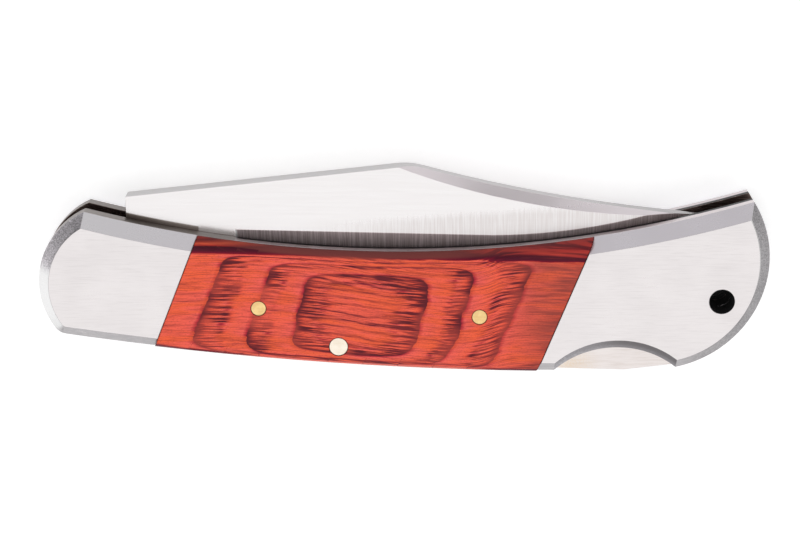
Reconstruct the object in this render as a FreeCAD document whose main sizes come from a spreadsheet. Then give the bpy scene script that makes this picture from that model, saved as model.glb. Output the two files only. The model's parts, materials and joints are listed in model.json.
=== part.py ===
"""Folding pocket knife with a back lock, closed: blade, lock bar, liners, bolsters, scales, spring and pins.

The knife lies on its side. X runs along the handle from the blade pivot to the butt, Y from the back of the
handle to the blade slot, and Z through the thickness, from the far side, which it lies on, to the near side.
The origin is on the resting face, midway along the closed handle, level with the pivot. Sizes are in
millimetres.
"""

import FreeCAD, Part
import math
import os

import Sketcher

V = FreeCAD.Vector
Z_AXIS = V(0, 0, 1)

# Driving dimensions, each a cell of the sheet "Sizes".
SIZES = {
    # handle outline, seen from the near side
    "closed_length": 120.0,
    "front_end_radius": 13.5,
    "front_end_height": -2.1,
    "rear_end_radius": 18.7,
    "rear_end_height": 1.9,
    "back_radius": 570.0,
    "back_low_place": 28.0,
    "corner_radius": 2.6,
    "slot_line_radius": 201.8,
    "slot_line_place": -0.95,
    "slot_line_height": 3.6,
    # layers through the thickness
    "blade_thickness": 3.2,
    "blade_side_gap": 0.1,
    "liner_thickness": 2.35,
    "cover_thickness": 1.95,
    # facets and rounded edges of the covers
    "edge_facet": 1.85,
    "slot_facet": 2.3,
    "scale_edge_round": 1.75,
    # bolsters and scales
    "front_bolster_length": 23.8,
    "rear_bolster_length": 31.3,
    "joint_slant": 21.5,
    "joint_gap": 0.08,
    # lanyard hole and release notch
    "lanyard_diameter": 4.2,
    "lanyard_setback": 7.8,
    "lanyard_height": -4.35,
    "notch_radius": 15.6,
    "notch_facet": 1.85,
    "notch_setback": 24.5,
    "notch_centre_height": -26.7,
    # pins
    "pivot_setback": 12.0,
    "pivot_diameter": 4.8,
    "lock_pin_diameter": 3.0,
    "lock_pin_offset": 37.3,
    "lock_pin_inset": 3.345,
    "handle_pin_diameter": 2.4,
    "front_pin_setback": 36.2,
    "front_pin_height": -5.7,
    "rear_pin_setback": 47.5,
    "rear_pin_height": -7.1,
    "rivet_diameter": 2.0,
    "hidden_pin_cover": 0.5,
    "pin_clearance": 0.04,
    # blade
    "shoulder_offset": 2.4,
    "spine_height": 12.1,
    "peak_place": 1.4,
    "peak_height": 17.4,
    "peak_round": 9.0,
    "clip_radius": 258.0,
    "swage_radius": 129.0,
    "swage_drop": 1.1,
    "swage_tip_rise": 0.43,
    "swage_depth": 0.6,
    "swage_lead": 6.45,
    "tip_setback": 10.3,
    "tip_height": 8.9,
    "belly_start": 12.0,
    "edge_height": 2.45,
    "edge_heel_rise": 0.85,
    "edge_thickness": 0.24,
    "bevel_height": 3.2,
    "cutter_overrun": 0.125,
    "plunge_offset": 20.35,
    "ricasso_offset": 14.5,
    "nick_place": -2.0,
    "nick_drop": 2.6,
    "nick_wheel_radius": 42.0,
    "nick_width": 1.3,
    "nick_depth": 0.5,
    # lock: cam, notch and tooth
    "open_angle": 166.8,
    "cam_radius": 7.6,
    "cam_start_angle": 30.0,
    "notch_width": 3.2,
    "lock_drop": 1.1,
    "cam_clearance": 0.08,
    "seat_clearance": 0.1,
    "stop_clearance": 0.3,
    "tooth_clearance": 0.05,
    "seat_ramp": 1.7,
    # lock bar
    "bar_front_rise": 5.2,
    "bar_pin_rise": 3.7,
    "cam_relief": 0.15,
    "tail_depth": 5.3,
    "tail_setback": 14.4,
    "tail_proud": 0.85,
    "tail_flat": 8.6,
    "tail_rise": 1.05,
    "proud_offset": 0.7,
    "tail_start_offset": 13.5,
    "tail_start_proud": 0.42,
    # spacer and back spring
    "spacer_gap": 0.6,
    "spacer_top": 5.2,
    "spacer_top_slope": 0.2,
    "spacer_pin_diameter": 2.2,
    "upper_pin_setback": 5.2,
    "upper_pin_height": 3.0,
    "lower_pin_setback": 9.6,
    "lower_pin_height": -11.4,
    "spring_thickness": 1.1,
    "spring_side_gap": 0.2,
    "spring_root_height": 0.9,
    "spring_root_length": 4.0,
    "spring_tip_clearance": 4.8,
    "spring_tip_gap": 0.03,
    # rivets of the front bolsters, from the pivot
    "upper_rivet_offset": 4.6,
    "upper_rivet_height": 5.0,
    "lower_rivet_offset": 3.6,
    "lower_rivet_height": -8.0,
}

# Places worked out from the driving dimensions, each a cell of the sheet "Places".
PLACES = {
    "front_end": "-Sizes.closed_length / 2",
    "rear_end": "Sizes.closed_length / 2",
    # heights of the layers
    "far_inner": "Sizes.cover_thickness + Sizes.liner_thickness",
    "near_inner": "far_inner + Sizes.blade_thickness + 2 * Sizes.blade_side_gap",
    "near_outer": "near_inner + Sizes.liner_thickness",
    "near_face": "near_outer + Sizes.cover_thickness",
    "middle": "near_face / 2",
    "blade_far": "middle - Sizes.blade_thickness / 2",
    "blade_near": "middle + Sizes.blade_thickness / 2",
    # centres of the outline's arcs
    "front_centre": "front_end + Sizes.front_end_radius",
    "rear_centre": "rear_end - Sizes.rear_end_radius",
    "slot_centre_height": "Sizes.slot_line_height + Sizes.slot_line_radius",
    "back_reach": "Sizes.back_radius - Sizes.rear_end_radius",
    "back_offset": "rear_centre - Sizes.back_low_place",
    "back_centre_height": "Sizes.rear_end_height + sqrt(back_reach * back_reach - back_offset * back_offset)",
    # joints between bolsters and scales, where they cross the level of the pivot
    "front_joint": "front_end + Sizes.front_bolster_length",
    "rear_joint": "rear_end - Sizes.rear_bolster_length",
    # pins and holes
    "pivot": "front_end + Sizes.pivot_setback",
    "lanyard": "rear_end - Sizes.lanyard_setback",
    "notch": "rear_end - Sizes.notch_setback",
    "notch_inner_height": "Sizes.notch_centre_height - Sizes.notch_facet",
    "upper_rivet": "pivot + Sizes.upper_rivet_offset",
    "lower_rivet": "pivot + Sizes.lower_rivet_offset",
    "lock_pin": "pivot + Sizes.lock_pin_offset",
    "lock_pin_aside": "lock_pin - Sizes.back_low_place",
    "lock_pin_back": "back_centre_height - sqrt(Sizes.back_radius ^ 2 - lock_pin_aside ^ 2)",
    "lock_pin_height": "lock_pin_back + Sizes.lock_pin_inset",
    "front_pin": "front_end + Sizes.front_pin_setback",
    "rear_pin": "rear_end - Sizes.rear_pin_setback",
    "upper_pin": "rear_end - Sizes.upper_pin_setback",
    "lower_pin": "rear_end - Sizes.lower_pin_setback",
    # blade
    "shoulder": "pivot + Sizes.shoulder_offset",
    "tip": "rear_end - Sizes.tip_setback",
    "plunge": "pivot + Sizes.plunge_offset",
    "heel_height": "Sizes.edge_height + Sizes.edge_heel_rise",
    "edge_slope": "atan(Sizes.edge_heel_rise / (Sizes.belly_start - plunge))",
    "belly_run": "tip - Sizes.belly_start",
    "belly_rise": "Sizes.tip_height - Sizes.edge_height",
    "belly_bow": "belly_run * sin(edge_slope) + belly_rise * cos(edge_slope)",
    "belly_radius": "(belly_run ^ 2 + belly_rise ^ 2) / (2 * belly_bow)",
    "spine_slope": "atan((Sizes.peak_height - Sizes.spine_height) / (Sizes.peak_place - shoulder))",
    "bevel_depth": "(Sizes.blade_thickness - Sizes.edge_thickness) / 2",
    # tooth of the lock bar, in axes turned with the open blade about the pivot
    "tooth_front": "Sizes.shoulder_offset - Sizes.stop_clearance",
    "tooth_back": "Sizes.shoulder_offset - Sizes.notch_width + Sizes.tooth_clearance",
    "tooth_tip": "Sizes.cam_radius + Sizes.cam_clearance",
    "notch_floor": "tooth_tip - Sizes.lock_drop - Sizes.seat_clearance",
    # lock bar
    "tail_end": "rear_end - Sizes.tail_setback",
    "tail_corner": "tail_end - Sizes.tail_flat",
    "bar_front": "pivot - Sizes.cam_radius",
    "bar_front_aside": "bar_front - Sizes.back_low_place",
    "bar_front_height": "back_centre_height - sqrt(Sizes.back_radius ^ 2 - bar_front_aside ^ 2)",
    "proud_start": "lock_pin + Sizes.proud_offset",
    "proud_aside": "proud_start - Sizes.back_low_place",
    "proud_height": "back_centre_height - sqrt(Sizes.back_radius ^ 2 - proud_aside ^ 2)",
    "tail_start": "notch - Sizes.tail_start_offset",
    "tail_start_aside": "tail_start - Sizes.back_low_place",
    "tail_start_back": "back_centre_height - sqrt(Sizes.back_radius ^ 2 - tail_start_aside ^ 2)",
    "tail_start_height": "tail_start_back - Sizes.tail_start_proud",
    "tail_aside": "tail_corner - Sizes.back_low_place",
    "tail_back": "back_centre_height - sqrt(Sizes.back_radius ^ 2 - tail_aside ^ 2)",
    "tail_corner_height": "tail_back - Sizes.tail_proud",
    "tail_end_height": "tail_corner_height + Sizes.tail_rise",
    "tail_top": "tail_end_height + Sizes.tail_depth",
    "bar_top": "lock_pin_height + Sizes.bar_pin_rise",
    "bar_top_fall": "(tail_top - bar_top) / (tail_end - lock_pin)",
    # spacer and spring
    "spacer_face": "tail_end + Sizes.spacer_gap",
    "spring_low": "Sizes.spring_root_height - Sizes.spring_thickness / 2",
    "spring_tip": "rear_pin + Sizes.handle_pin_diameter / 2 + Sizes.spring_tip_clearance",
    "bar_top_at_tip": "bar_top + bar_top_fall * (spring_tip - lock_pin)",
    "spring_tip_height": "bar_top_at_tip + Sizes.spring_tip_gap",
    "spring_run": "spacer_face - spring_tip",
    "spring_fall": "spring_low - spring_tip_height",
    "spring_radius": "(spring_run ^ 2 + spring_fall ^ 2) / (2 * spring_fall)",
}

DOC = FreeCAD.newDocument("pocket_knife")


def fill_sheet(name, cells):
    """Makes a sheet with one aliased row for each name and value."""
    sheet = DOC.addObject("Spreadsheet::Sheet", name)
    for row, (alias, content) in enumerate(cells.items(), start=1):
        sheet.set(f"A{row}", alias)
        sheet.set(f"B{row}", content if isinstance(content, str) else str(content))
        sheet.setAlias(f"B{row}", alias)
    DOC.recompute()
    return sheet


SHEET = fill_sheet("Sizes", SIZES)
fill_sheet("Places", {alias: "=" + formula for alias, formula in PLACES.items()})


def size(expression):
    """The value of an expression of the two sheets."""
    found = SHEET.evalExpression(expression)
    return float(getattr(found, "Value", found))


def bind(thing, **expressions):
    """Binds properties to expressions of the sheets; a double underscore stands for a dot."""
    for path, expression in expressions.items():
        thing.setExpression(path.replace("__", "."), expression)
    return thing


def put(thing, x="0", y="0", z="0", turn=None):
    """Binds the placement: a position, and where asked a turn about Z."""
    if turn is not None:
        thing.Placement = FreeCAD.Placement(V(0, 0, 0), Z_AXIS, size(turn))
        bind(thing, Placement__Rotation__Angle=turn)
    return bind(thing, Placement__Base__x=x, Placement__Base__y=y, Placement__Base__z=z)


class Pen:
    """Draws lines and arcs in a sketch and ties them to the sheets."""

    def __init__(self, sketch):
        self.sketch = sketch

    def line(self, start, end):
        """A line between two points."""
        return self.sketch.addGeometry(Part.LineSegment(V(*start, 0), V(*end, 0)), False)

    def arc(self, centre, start, end):
        """An arc from start to end, turning to the left about its centre."""
        radius = math.dist(centre, start)
        angles = [math.atan2(p[1] - centre[1], p[0] - centre[0]) for p in (start, end)]
        circle = Part.Circle(V(*centre, 0), Z_AXIS, radius)
        return self.sketch.addGeometry(Part.ArcOfCircle(circle, *angles), False)

    def tie(self, kind, *items):
        """Adds a constraint and gives its number."""
        return self.sketch.addConstraint(Sketcher.Constraint(kind, *items))

    def measure(self, kind, expression, *items):
        """Adds a dimension that follows an expression."""
        number = self.tie(kind, *items, size(expression))
        self.sketch.setExpression(f"Constraints[{number}]", expression)

    def hold(self, piece, end, x=None, y=None):
        """Holds a point of a line or arc (1 start, 2 end, 3 centre) at x, y or both."""
        for kind, expression in (("DistanceX", x), ("DistanceY", y)):
            if expression is not None:
                self.measure(kind, expression, piece, end)

    def polygon(self, corners):
        """A closed chain of lines through corners given as pairs of expressions."""
        points = [(size(x), size(y)) for x, y in corners]
        lines = [self.line(a, b) for a, b in zip(points, points[1:] + points[:1])]
        for number, piece in enumerate(lines):
            self.tie("Coincident", piece, 2, lines[(number + 1) % len(lines)], 1)
            self.hold(piece, 1, *corners[number])


def new_sketch(name, height="0"):
    """A sketch in the XY plane at a height."""
    return put(DOC.addObject("Sketcher::SketchObject", name), z=height)


def crossing(first, second, guess):
    """The crossing of two circles (x, y, radius) that lies nearest to a guessed point."""
    (x0, y0, r0), (x1, y1, r1) = first, second
    gap = math.dist((x0, y0), (x1, y1))
    along = (gap**2 + r0**2 - r1**2) / (2 * gap)
    aside = math.sqrt(max(r0**2 - along**2, 0.0))
    dx, dy = (x1 - x0) / gap, (y1 - y0) / gap
    found = [(x0 + along * dx - s * aside * dy, y0 + along * dy + s * aside * dx) for s in (1, -1)]
    return min(found, key=lambda point: math.dist(point, guess))


def towards(start, end, length):
    """The point at a length from start on the line to end."""
    share = length / math.dist(start, end)
    return tuple(a + share * (b - a) for a, b in zip(start, end))


def draw_outline(sketch, inset="0", slot_inset="0"):
    """The handle's outline, or one set in from it: slot line, rear end, back, corner and front end."""
    pen = Pen(sketch)
    radii = {
        "slot": f"Sizes.slot_line_radius + {slot_inset}",
        "rear": f"Sizes.rear_end_radius - {inset}",
        "back": f"Sizes.back_radius - {inset}",
        "corner": f"Sizes.corner_radius - {inset}",
        "front": f"Sizes.front_end_radius - {inset}",
    }
    r = {name: size(expression) for name, expression in radii.items()}
    slot = (size("Sizes.slot_line_place"), size("Places.slot_centre_height"))
    rear = (size("Places.rear_centre"), size("Sizes.rear_end_height"))
    back = (size("Sizes.back_low_place"), size("Places.back_centre_height"))
    front = (size("Places.front_centre"), size("Sizes.front_end_height"))
    ends = size("Places.front_end"), size("Places.rear_end")
    low_left = ends[0], -r["front"]
    corner = crossing((*back, r["back"] - r["corner"]), (*front, r["front"] - r["corner"]), low_left)
    slot_rear = crossing((*slot, r["slot"]), (*rear, r["rear"]), (ends[1], r["rear"]))
    slot_front = crossing((*slot, r["slot"]), (*front, r["front"]), (ends[0], r["front"]))
    rear_back = towards(back, rear, r["back"])
    back_corner = towards(back, corner, r["back"])
    corner_front = towards(front, corner, r["front"])
    arcs = {
        "slot": pen.arc(slot, slot_front, slot_rear),
        "rear": pen.arc(rear, rear_back, slot_rear),
        "back": pen.arc(back, back_corner, rear_back),
        "corner": pen.arc(corner, corner_front, back_corner),
        "front": pen.arc(front, slot_front, corner_front),
    }
    pen.tie("Coincident", arcs["slot"], 2, arcs["rear"], 2)
    pen.tie("Coincident", arcs["slot"], 1, arcs["front"], 1)
    pen.tie("Tangent", arcs["rear"], 1, arcs["back"], 2)
    pen.tie("Tangent", arcs["back"], 1, arcs["corner"], 2)
    pen.tie("Tangent", arcs["corner"], 1, arcs["front"], 2)
    for name, expression in radii.items():
        pen.measure("Radius", expression, arcs[name])
    pen.hold(arcs["slot"], 3, "Sizes.slot_line_place", "Places.slot_centre_height")
    pen.hold(arcs["rear"], 3, "Places.rear_centre", "Sizes.rear_end_height")
    pen.hold(arcs["back"], 3, "Sizes.back_low_place")
    pen.hold(arcs["front"], 3, "Places.front_centre", "Sizes.front_end_height")
    return sketch


def extrude(name, sketch, length):
    """A straight extrusion of a sketch along Z."""
    solid = DOC.addObject("Part::Extrusion", name)
    solid.Base = sketch
    solid.DirMode = "Normal"
    solid.Solid = True
    return bind(solid, LengthFwd=length)


def boolean(kind, name, *things):
    """A Part cut, or a fusion or common of many."""
    if kind == "Cut":
        whole = DOC.addObject("Part::Cut", name)
        whole.Base, whole.Tool = things
        return whole
    whole = DOC.addObject(f"Part::{kind}", name)
    whole.Shapes = list(things)
    return whole


def cut_away(name, base, *tools):
    """The base without all the tools."""
    tool = tools[0] if len(tools) == 1 else boolean("MultiFuse", f"{name}_cutters", *tools)
    return boolean("Cut", name, base, tool)


def rod(name, radius, x, y, low, high):
    """A cylinder along Z between two heights."""
    cylinder = DOC.addObject("Part::Cylinder", name)
    bind(cylinder, Radius=radius, Height=f"({high}) - ({low})")
    return put(cylinder, x, y, low)


def block(name, corners, low, high):
    """A prism along Z over a polygon, between two heights."""
    sketch = new_sketch(f"{name}_corners", low)
    Pen(sketch).polygon(corners)
    return extrude(name, sketch, f"({high}) - ({low})")


def mirrored(name, near):
    """The far twin of a near piece."""
    twin = DOC.addObject("Part::Mirroring", name)
    twin.Source = near
    twin.Normal = Z_AXIS
    return bind(twin, Base__z="Places.middle")


PIVOT_HOLE = ("Sizes.pivot_diameter / 2", "Places.pivot", "0")
LOCK_PIN_HOLE = ("Sizes.lock_pin_diameter / 2", "Places.lock_pin", "Places.lock_pin_height")
FRONT_PIN_HOLE = ("Sizes.handle_pin_diameter / 2", "Places.front_pin", "Sizes.front_pin_height")
REAR_PIN_HOLE = ("Sizes.handle_pin_diameter / 2", "Places.rear_pin", "Sizes.rear_pin_height")
UPPER_SPACER_HOLE = ("Sizes.spacer_pin_diameter / 2", "Places.upper_pin", "Sizes.upper_pin_height")
LOWER_SPACER_HOLE = ("Sizes.spacer_pin_diameter / 2", "Places.lower_pin", "Sizes.lower_pin_height")
UPPER_RIVET_HOLE = ("Sizes.rivet_diameter / 2", "Places.upper_rivet", "Sizes.upper_rivet_height")
LOWER_RIVET_HOLE = ("Sizes.rivet_diameter / 2", "Places.lower_rivet", "Sizes.lower_rivet_height")
LANYARD_HOLE = ("Sizes.lanyard_diameter / 2", "Places.lanyard", "Sizes.lanyard_height")

FAR_FACE, NEAR_FACE = "0", "Places.near_face"
BLIND_FAR, BLIND_NEAR = "Sizes.hidden_pin_cover", "Places.near_face - Sizes.hidden_pin_cover"


def along_joint(joint, height, shift="0"):
    """A point of a slanted joint at a height, shifted along X."""
    return f"Places.{joint} + ({height}) * tan(Sizes.joint_slant * 1deg) + ({shift})", height


def joint_region(name, front=None, rear=None):
    """A prism over the covers' layer between two slanted joints, or past one where the other is None."""
    far = "Sizes.closed_length"
    left = [along_joint(*front[:1], h, front[1]) for h in (f"-{far}", far)] if front else None
    right = [along_joint(*rear[:1], h, rear[1]) for h in (f"-{far}", far)] if rear else None
    low_left, high_left = left or [(f"-2 * {far}", f"-{far}"), (f"-2 * {far}", far)]
    low_right, high_right = right or [(f"2 * {far}", f"-{far}"), (f"2 * {far}", far)]
    return block(name, [low_left, low_right, high_right, high_left], "Places.near_outer", "Places.near_face")


def faceted_cover():
    """The near cover before it is divided: the outline at the liner, drawn in by the facets at the face."""
    low = draw_outline(new_sketch("cover_outline", "Places.near_outer"))
    high = draw_outline(
        new_sketch("cover_flat", "Places.near_face"),
        "Sizes.edge_facet",
        "Sizes.slot_facet",
    )
    loft = DOC.addObject("Part::Loft", "faceted_cover")
    loft.Sections = [low, high]
    loft.Solid = True
    loft.Ruled = True
    return loft


def notch_cutter(name):
    """The round of the release notch in the near cover: it leans back from the liner to the face."""
    rounds = []
    for level, y, z in (
        ("inner", "Places.notch_inner_height", "Places.near_outer"),
        ("face", "Sizes.notch_centre_height", NEAR_FACE),
    ):
        circle = bind(DOC.addObject("Part::Circle", f"{name}_{level}"), Radius="Sizes.notch_radius")
        rounds.append(put(circle, "Places.notch", y, z))
    loft = DOC.addObject("Part::Loft", name)
    loft.Sections = rounds
    loft.Solid = True
    loft.Ruled = True
    return loft


def make_bolsters():
    """The four bolsters, with their joints, blind pin holes, lanyard hole and release notch."""
    cover = faceted_cover()
    half_gap = "Sizes.joint_gap / 2"
    before_joint = joint_region("front_region", rear=("front_joint", f"-{half_gap}"))
    front = boolean("MultiCommon", "front_bolster_blank", cover, before_joint)
    holes = [
        rod(f"front_bolster_hole_{number}", *hole, "Places.near_outer", BLIND_NEAR)
        for number, hole in enumerate((PIVOT_HOLE, UPPER_RIVET_HOLE, LOWER_RIVET_HOLE))
    ]
    front = cut_away("front_bolster_near", front, *holes)
    past_joint = joint_region("rear_region", front=("rear_joint", half_gap))
    rear = boolean("MultiCommon", "rear_bolster_blank", cover, past_joint)
    holes = [
        rod(f"rear_bolster_hole_{number}", *hole, "Places.near_outer", BLIND_NEAR)
        for number, hole in enumerate((UPPER_SPACER_HOLE, LOWER_SPACER_HOLE))
    ]
    lanyard = rod("rear_bolster_lanyard", *LANYARD_HOLE, "Places.near_outer", NEAR_FACE)
    rear = cut_away("rear_bolster_near", rear, *holes, lanyard, notch_cutter("rear_bolster_notch"))
    return [front, mirrored("front_bolster_far", front), rear, mirrored("rear_bolster_far", rear)]


def plane_of(body, role):
    """One of a body's own origin planes."""
    return next(plane for plane in body.Origin.OriginFeatures if plane.Role == role)


def body_sketch(body, name, height):
    """A sketch on a body's own XY plane, lifted to a height."""
    sketch = body.newObject("Sketcher::SketchObject", name)
    sketch.AttachmentSupport = [(plane_of(body, "XY_Plane"), "")]
    sketch.MapMode = "FlatFace"
    return bind(sketch, AttachmentOffset__Base__z=height)


def pad(body, name, sketch, length):
    """Pads a sketch along +Z."""
    feature = body.newObject("PartDesign::Pad", name)
    feature.Profile = sketch
    bind(feature, Length=length)
    DOC.recompute()
    return feature


def pocket_holes(body, name, height, holes):
    """Round holes through a body, drawn at its top."""
    sketch = body_sketch(body, f"{name}_circles", height)
    pen = Pen(sketch)
    for radius, x, y in holes:
        circle = Part.Circle(V(size(x), size(y), 0), Z_AXIS, size(radius))
        piece = sketch.addGeometry(circle, False)
        pen.measure("Radius", radius, piece)
        pen.hold(piece, 3, x, y)
    before = body.Tip.Shape.Volume
    pocket = body.newObject("PartDesign::Pocket", name)
    pocket.Profile = sketch
    pocket.Type = "ThroughAll"
    DOC.recompute()
    assert pocket.Shape.Volume < before, f"{name} cuts nothing"
    return pocket


def make_scale(name):
    """A wooden scale: a slab between the slanted joints, rounded along the slot and the back, with holes."""
    body = DOC.addObject("PartDesign::Body", name)
    sketch = body_sketch(body, f"{name}_outline", "Places.near_outer")
    pen = Pen(sketch)
    slot_x, slot_y, slot_r = (
        size(f"{v}") for v in ("Sizes.slot_line_place", "Places.slot_centre_height", "Sizes.slot_line_radius")
    )
    back_x, back_y, back_r = (
        size(f"{v}") for v in ("Sizes.back_low_place", "Places.back_centre_height", "Sizes.back_radius")
    )
    slope = math.tan(math.radians(size("Sizes.joint_slant")))
    corners = {}
    for joint, shift in (("front_joint", "Sizes.joint_gap / 2"), ("rear_joint", "-Sizes.joint_gap / 2")):
        foot = size(f"Places.{joint} + {shift}")
        y_slot, y_back = 0.0, 0.0
        for _ in range(20):
            y_slot = slot_y - math.sqrt(slot_r**2 - (foot + slope * y_slot - slot_x) ** 2)
            y_back = back_y - math.sqrt(back_r**2 - (foot + slope * y_back - back_x) ** 2)
        corners[joint] = (foot + slope * y_back, y_back), (foot + slope * y_slot, y_slot)
    front_back, front_slot = corners["front_joint"]
    rear_back, rear_slot = corners["rear_joint"]
    back = pen.arc((back_x, back_y), front_back, rear_back)
    rear = pen.line(rear_back, rear_slot)
    slot = pen.arc((slot_x, slot_y), front_slot, rear_slot)
    front = pen.line(front_slot, front_back)
    pen.tie("Coincident", back, 2, rear, 1)
    pen.tie("Coincident", rear, 2, slot, 2)
    pen.tie("Coincident", slot, 1, front, 1)
    pen.tie("Coincident", front, 2, back, 1)
    pen.hold(back, 3, "Sizes.back_low_place", "Places.back_centre_height")
    pen.measure("Radius", "Sizes.back_radius", back)
    pen.hold(slot, 3, "Sizes.slot_line_place", "Places.slot_centre_height")
    pen.measure("Radius", "Sizes.slot_line_radius", slot)
    half_gap = "Sizes.joint_gap / 2"
    for line, joint, shift in ((front, "front_joint", half_gap), (rear, "rear_joint", f"-{half_gap}")):
        for height in ("-Sizes.corner_radius", "Sizes.corner_radius"):
            x, y = along_joint(joint, height, shift)
            point = sketch.addGeometry(Part.Point(V(size(x), size(y), 0)), True)
            pen.hold(point, 1, x, y)
            pen.tie("PointOnObject", point, 1, line)
    pad(body, f"{name}_slab", sketch, "Sizes.cover_thickness")
    slab, top = body.Tip, size("Places.near_face")
    names = [
        f"Edge{number}"
        for number, edge in enumerate(slab.Shape.Edges, start=1)
        if isinstance(edge.Curve, Part.Circle) and all(abs(v.Z - top) < 1e-6 for v in edge.Vertexes)
    ]
    fillet = body.newObject("PartDesign::Fillet", f"{name}_round")
    fillet.Base = (slab, names)
    bind(fillet, Radius="min(Sizes.scale_edge_round; Sizes.cover_thickness - 0.1)")
    DOC.recompute()
    pin_holes = LOCK_PIN_HOLE, FRONT_PIN_HOLE, REAR_PIN_HOLE
    pocket_holes(body, f"{name}_pin_holes", "Places.near_face", pin_holes)
    return body


def make_liner(name, low):
    """A liner plate with its release notch and holes."""
    body = DOC.addObject("PartDesign::Body", name)
    outline = draw_outline(body_sketch(body, f"{name}_outline", low))
    pad(body, f"{name}_plate", outline, "Sizes.liner_thickness")
    holes = [
        PIVOT_HOLE,
        LOCK_PIN_HOLE,
        FRONT_PIN_HOLE,
        REAR_PIN_HOLE,
        UPPER_SPACER_HOLE,
        LOWER_SPACER_HOLE,
        UPPER_RIVET_HOLE,
        LOWER_RIVET_HOLE,
        LANYARD_HOLE,
        ("Sizes.notch_radius", "Places.notch", "Places.notch_inner_height"),
    ]
    pocket_holes(body, f"{name}_holes", f"{low} + Sizes.liner_thickness", holes)
    return body


def edge_region(name, height, lift):
    """The region below the cutting edge's line raised by a lift, from the plunge to past the tip."""
    sketch = new_sketch(name, height)
    pen = Pen(sketch)
    deep = "-Sizes.closed_length"
    plunge, belly = size("Places.plunge"), size("Sizes.belly_start")
    heel_y, low_y = size(f"Places.heel_height + {lift}"), size(f"Sizes.edge_height + {lift}")
    past = size("Places.tip + 2 * Sizes.bevel_height")
    radius = size(f"Places.belly_radius - ({lift})")
    slope = math.atan2(low_y - heel_y, belly - plunge)
    centre = (belly - radius * math.sin(slope), low_y + radius * math.cos(slope))
    end = (past, centre[1] - math.sqrt(radius**2 - (past - centre[0]) ** 2))
    line = pen.line((plunge, heel_y), (belly, low_y))
    arc = pen.arc(centre, (belly, low_y), end)
    down = pen.line(end, (past, size(deep)))
    under = pen.line((past, size(deep)), (plunge, size(deep)))
    up = pen.line((plunge, size(deep)), (plunge, heel_y))
    pen.tie("Tangent", line, 2, arc, 1)
    pen.tie("Coincident", arc, 2, down, 1)
    pen.tie("Coincident", down, 2, under, 1)
    pen.tie("Coincident", under, 2, up, 1)
    pen.tie("Coincident", up, 2, line, 1)
    pen.hold(line, 1, "Places.plunge", f"Places.heel_height + {lift}")
    pen.hold(line, 2, "Sizes.belly_start", f"Sizes.edge_height + {lift}")
    pen.measure("Radius", f"Places.belly_radius - ({lift})", arc)
    pen.hold(down, 1, "Places.tip + 2 * Sizes.bevel_height")
    pen.hold(under, 1, "Places.tip + 2 * Sizes.bevel_height", deep)
    pen.hold(up, 1, "Places.plunge", deep)
    return sketch


def above_arc(name, height, drop, tip_rise, radius):
    """The region above the clip, or above a swage line dropped from it, bounded by an arc below."""
    start = ("Sizes.peak_place", f"Sizes.peak_height - ({drop})")
    end = ("Places.tip", f"Sizes.tip_height + {tip_rise}")
    sketch = new_sketch(name, height)
    pen = Pen(sketch)
    a, b = [tuple(size(value) for value in point) for point in (start, end)]
    r = size(radius)
    centre = crossing((*a, r), (*b, r), (a[0], a[1] + r))
    left, right = "Sizes.peak_place - Sizes.swage_lead", "Places.tip + Sizes.bevel_height"
    top = "Sizes.closed_length / 2"
    first, last = ((x, centre[1] - math.sqrt(r**2 - (x - centre[0]) ** 2)) for x in (size(left), size(right)))
    corners = last, (size(right), size(top)), (size(left), size(top)), first
    arc = pen.arc(centre, first, last)
    lines = [pen.line(p, q) for p, q in zip(corners, corners[1:])]
    for piece, following in zip([arc, *lines], [*lines, arc]):
        pen.tie("Coincident", piece, 2, following, 1)
    for x, y in (start, end):
        point = sketch.addGeometry(Part.Point(V(size(x), size(y), 0)), True)
        pen.hold(point, 1, x, y)
        pen.tie("PointOnObject", point, 1, arc)
    pen.measure("Radius", radius, arc)
    pen.hold(lines[0], 1, right)
    pen.hold(lines[1], 1, right, top)
    pen.hold(lines[2], 1, left, top)
    pen.hold(arc, 1, left)
    return sketch


def loft(name, *sections):
    """A ruled solid through sections."""
    solid = DOC.addObject("Part::Loft", name)
    solid.Sections = list(sections)
    solid.Solid = True
    solid.Ruled = True
    return solid


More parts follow.
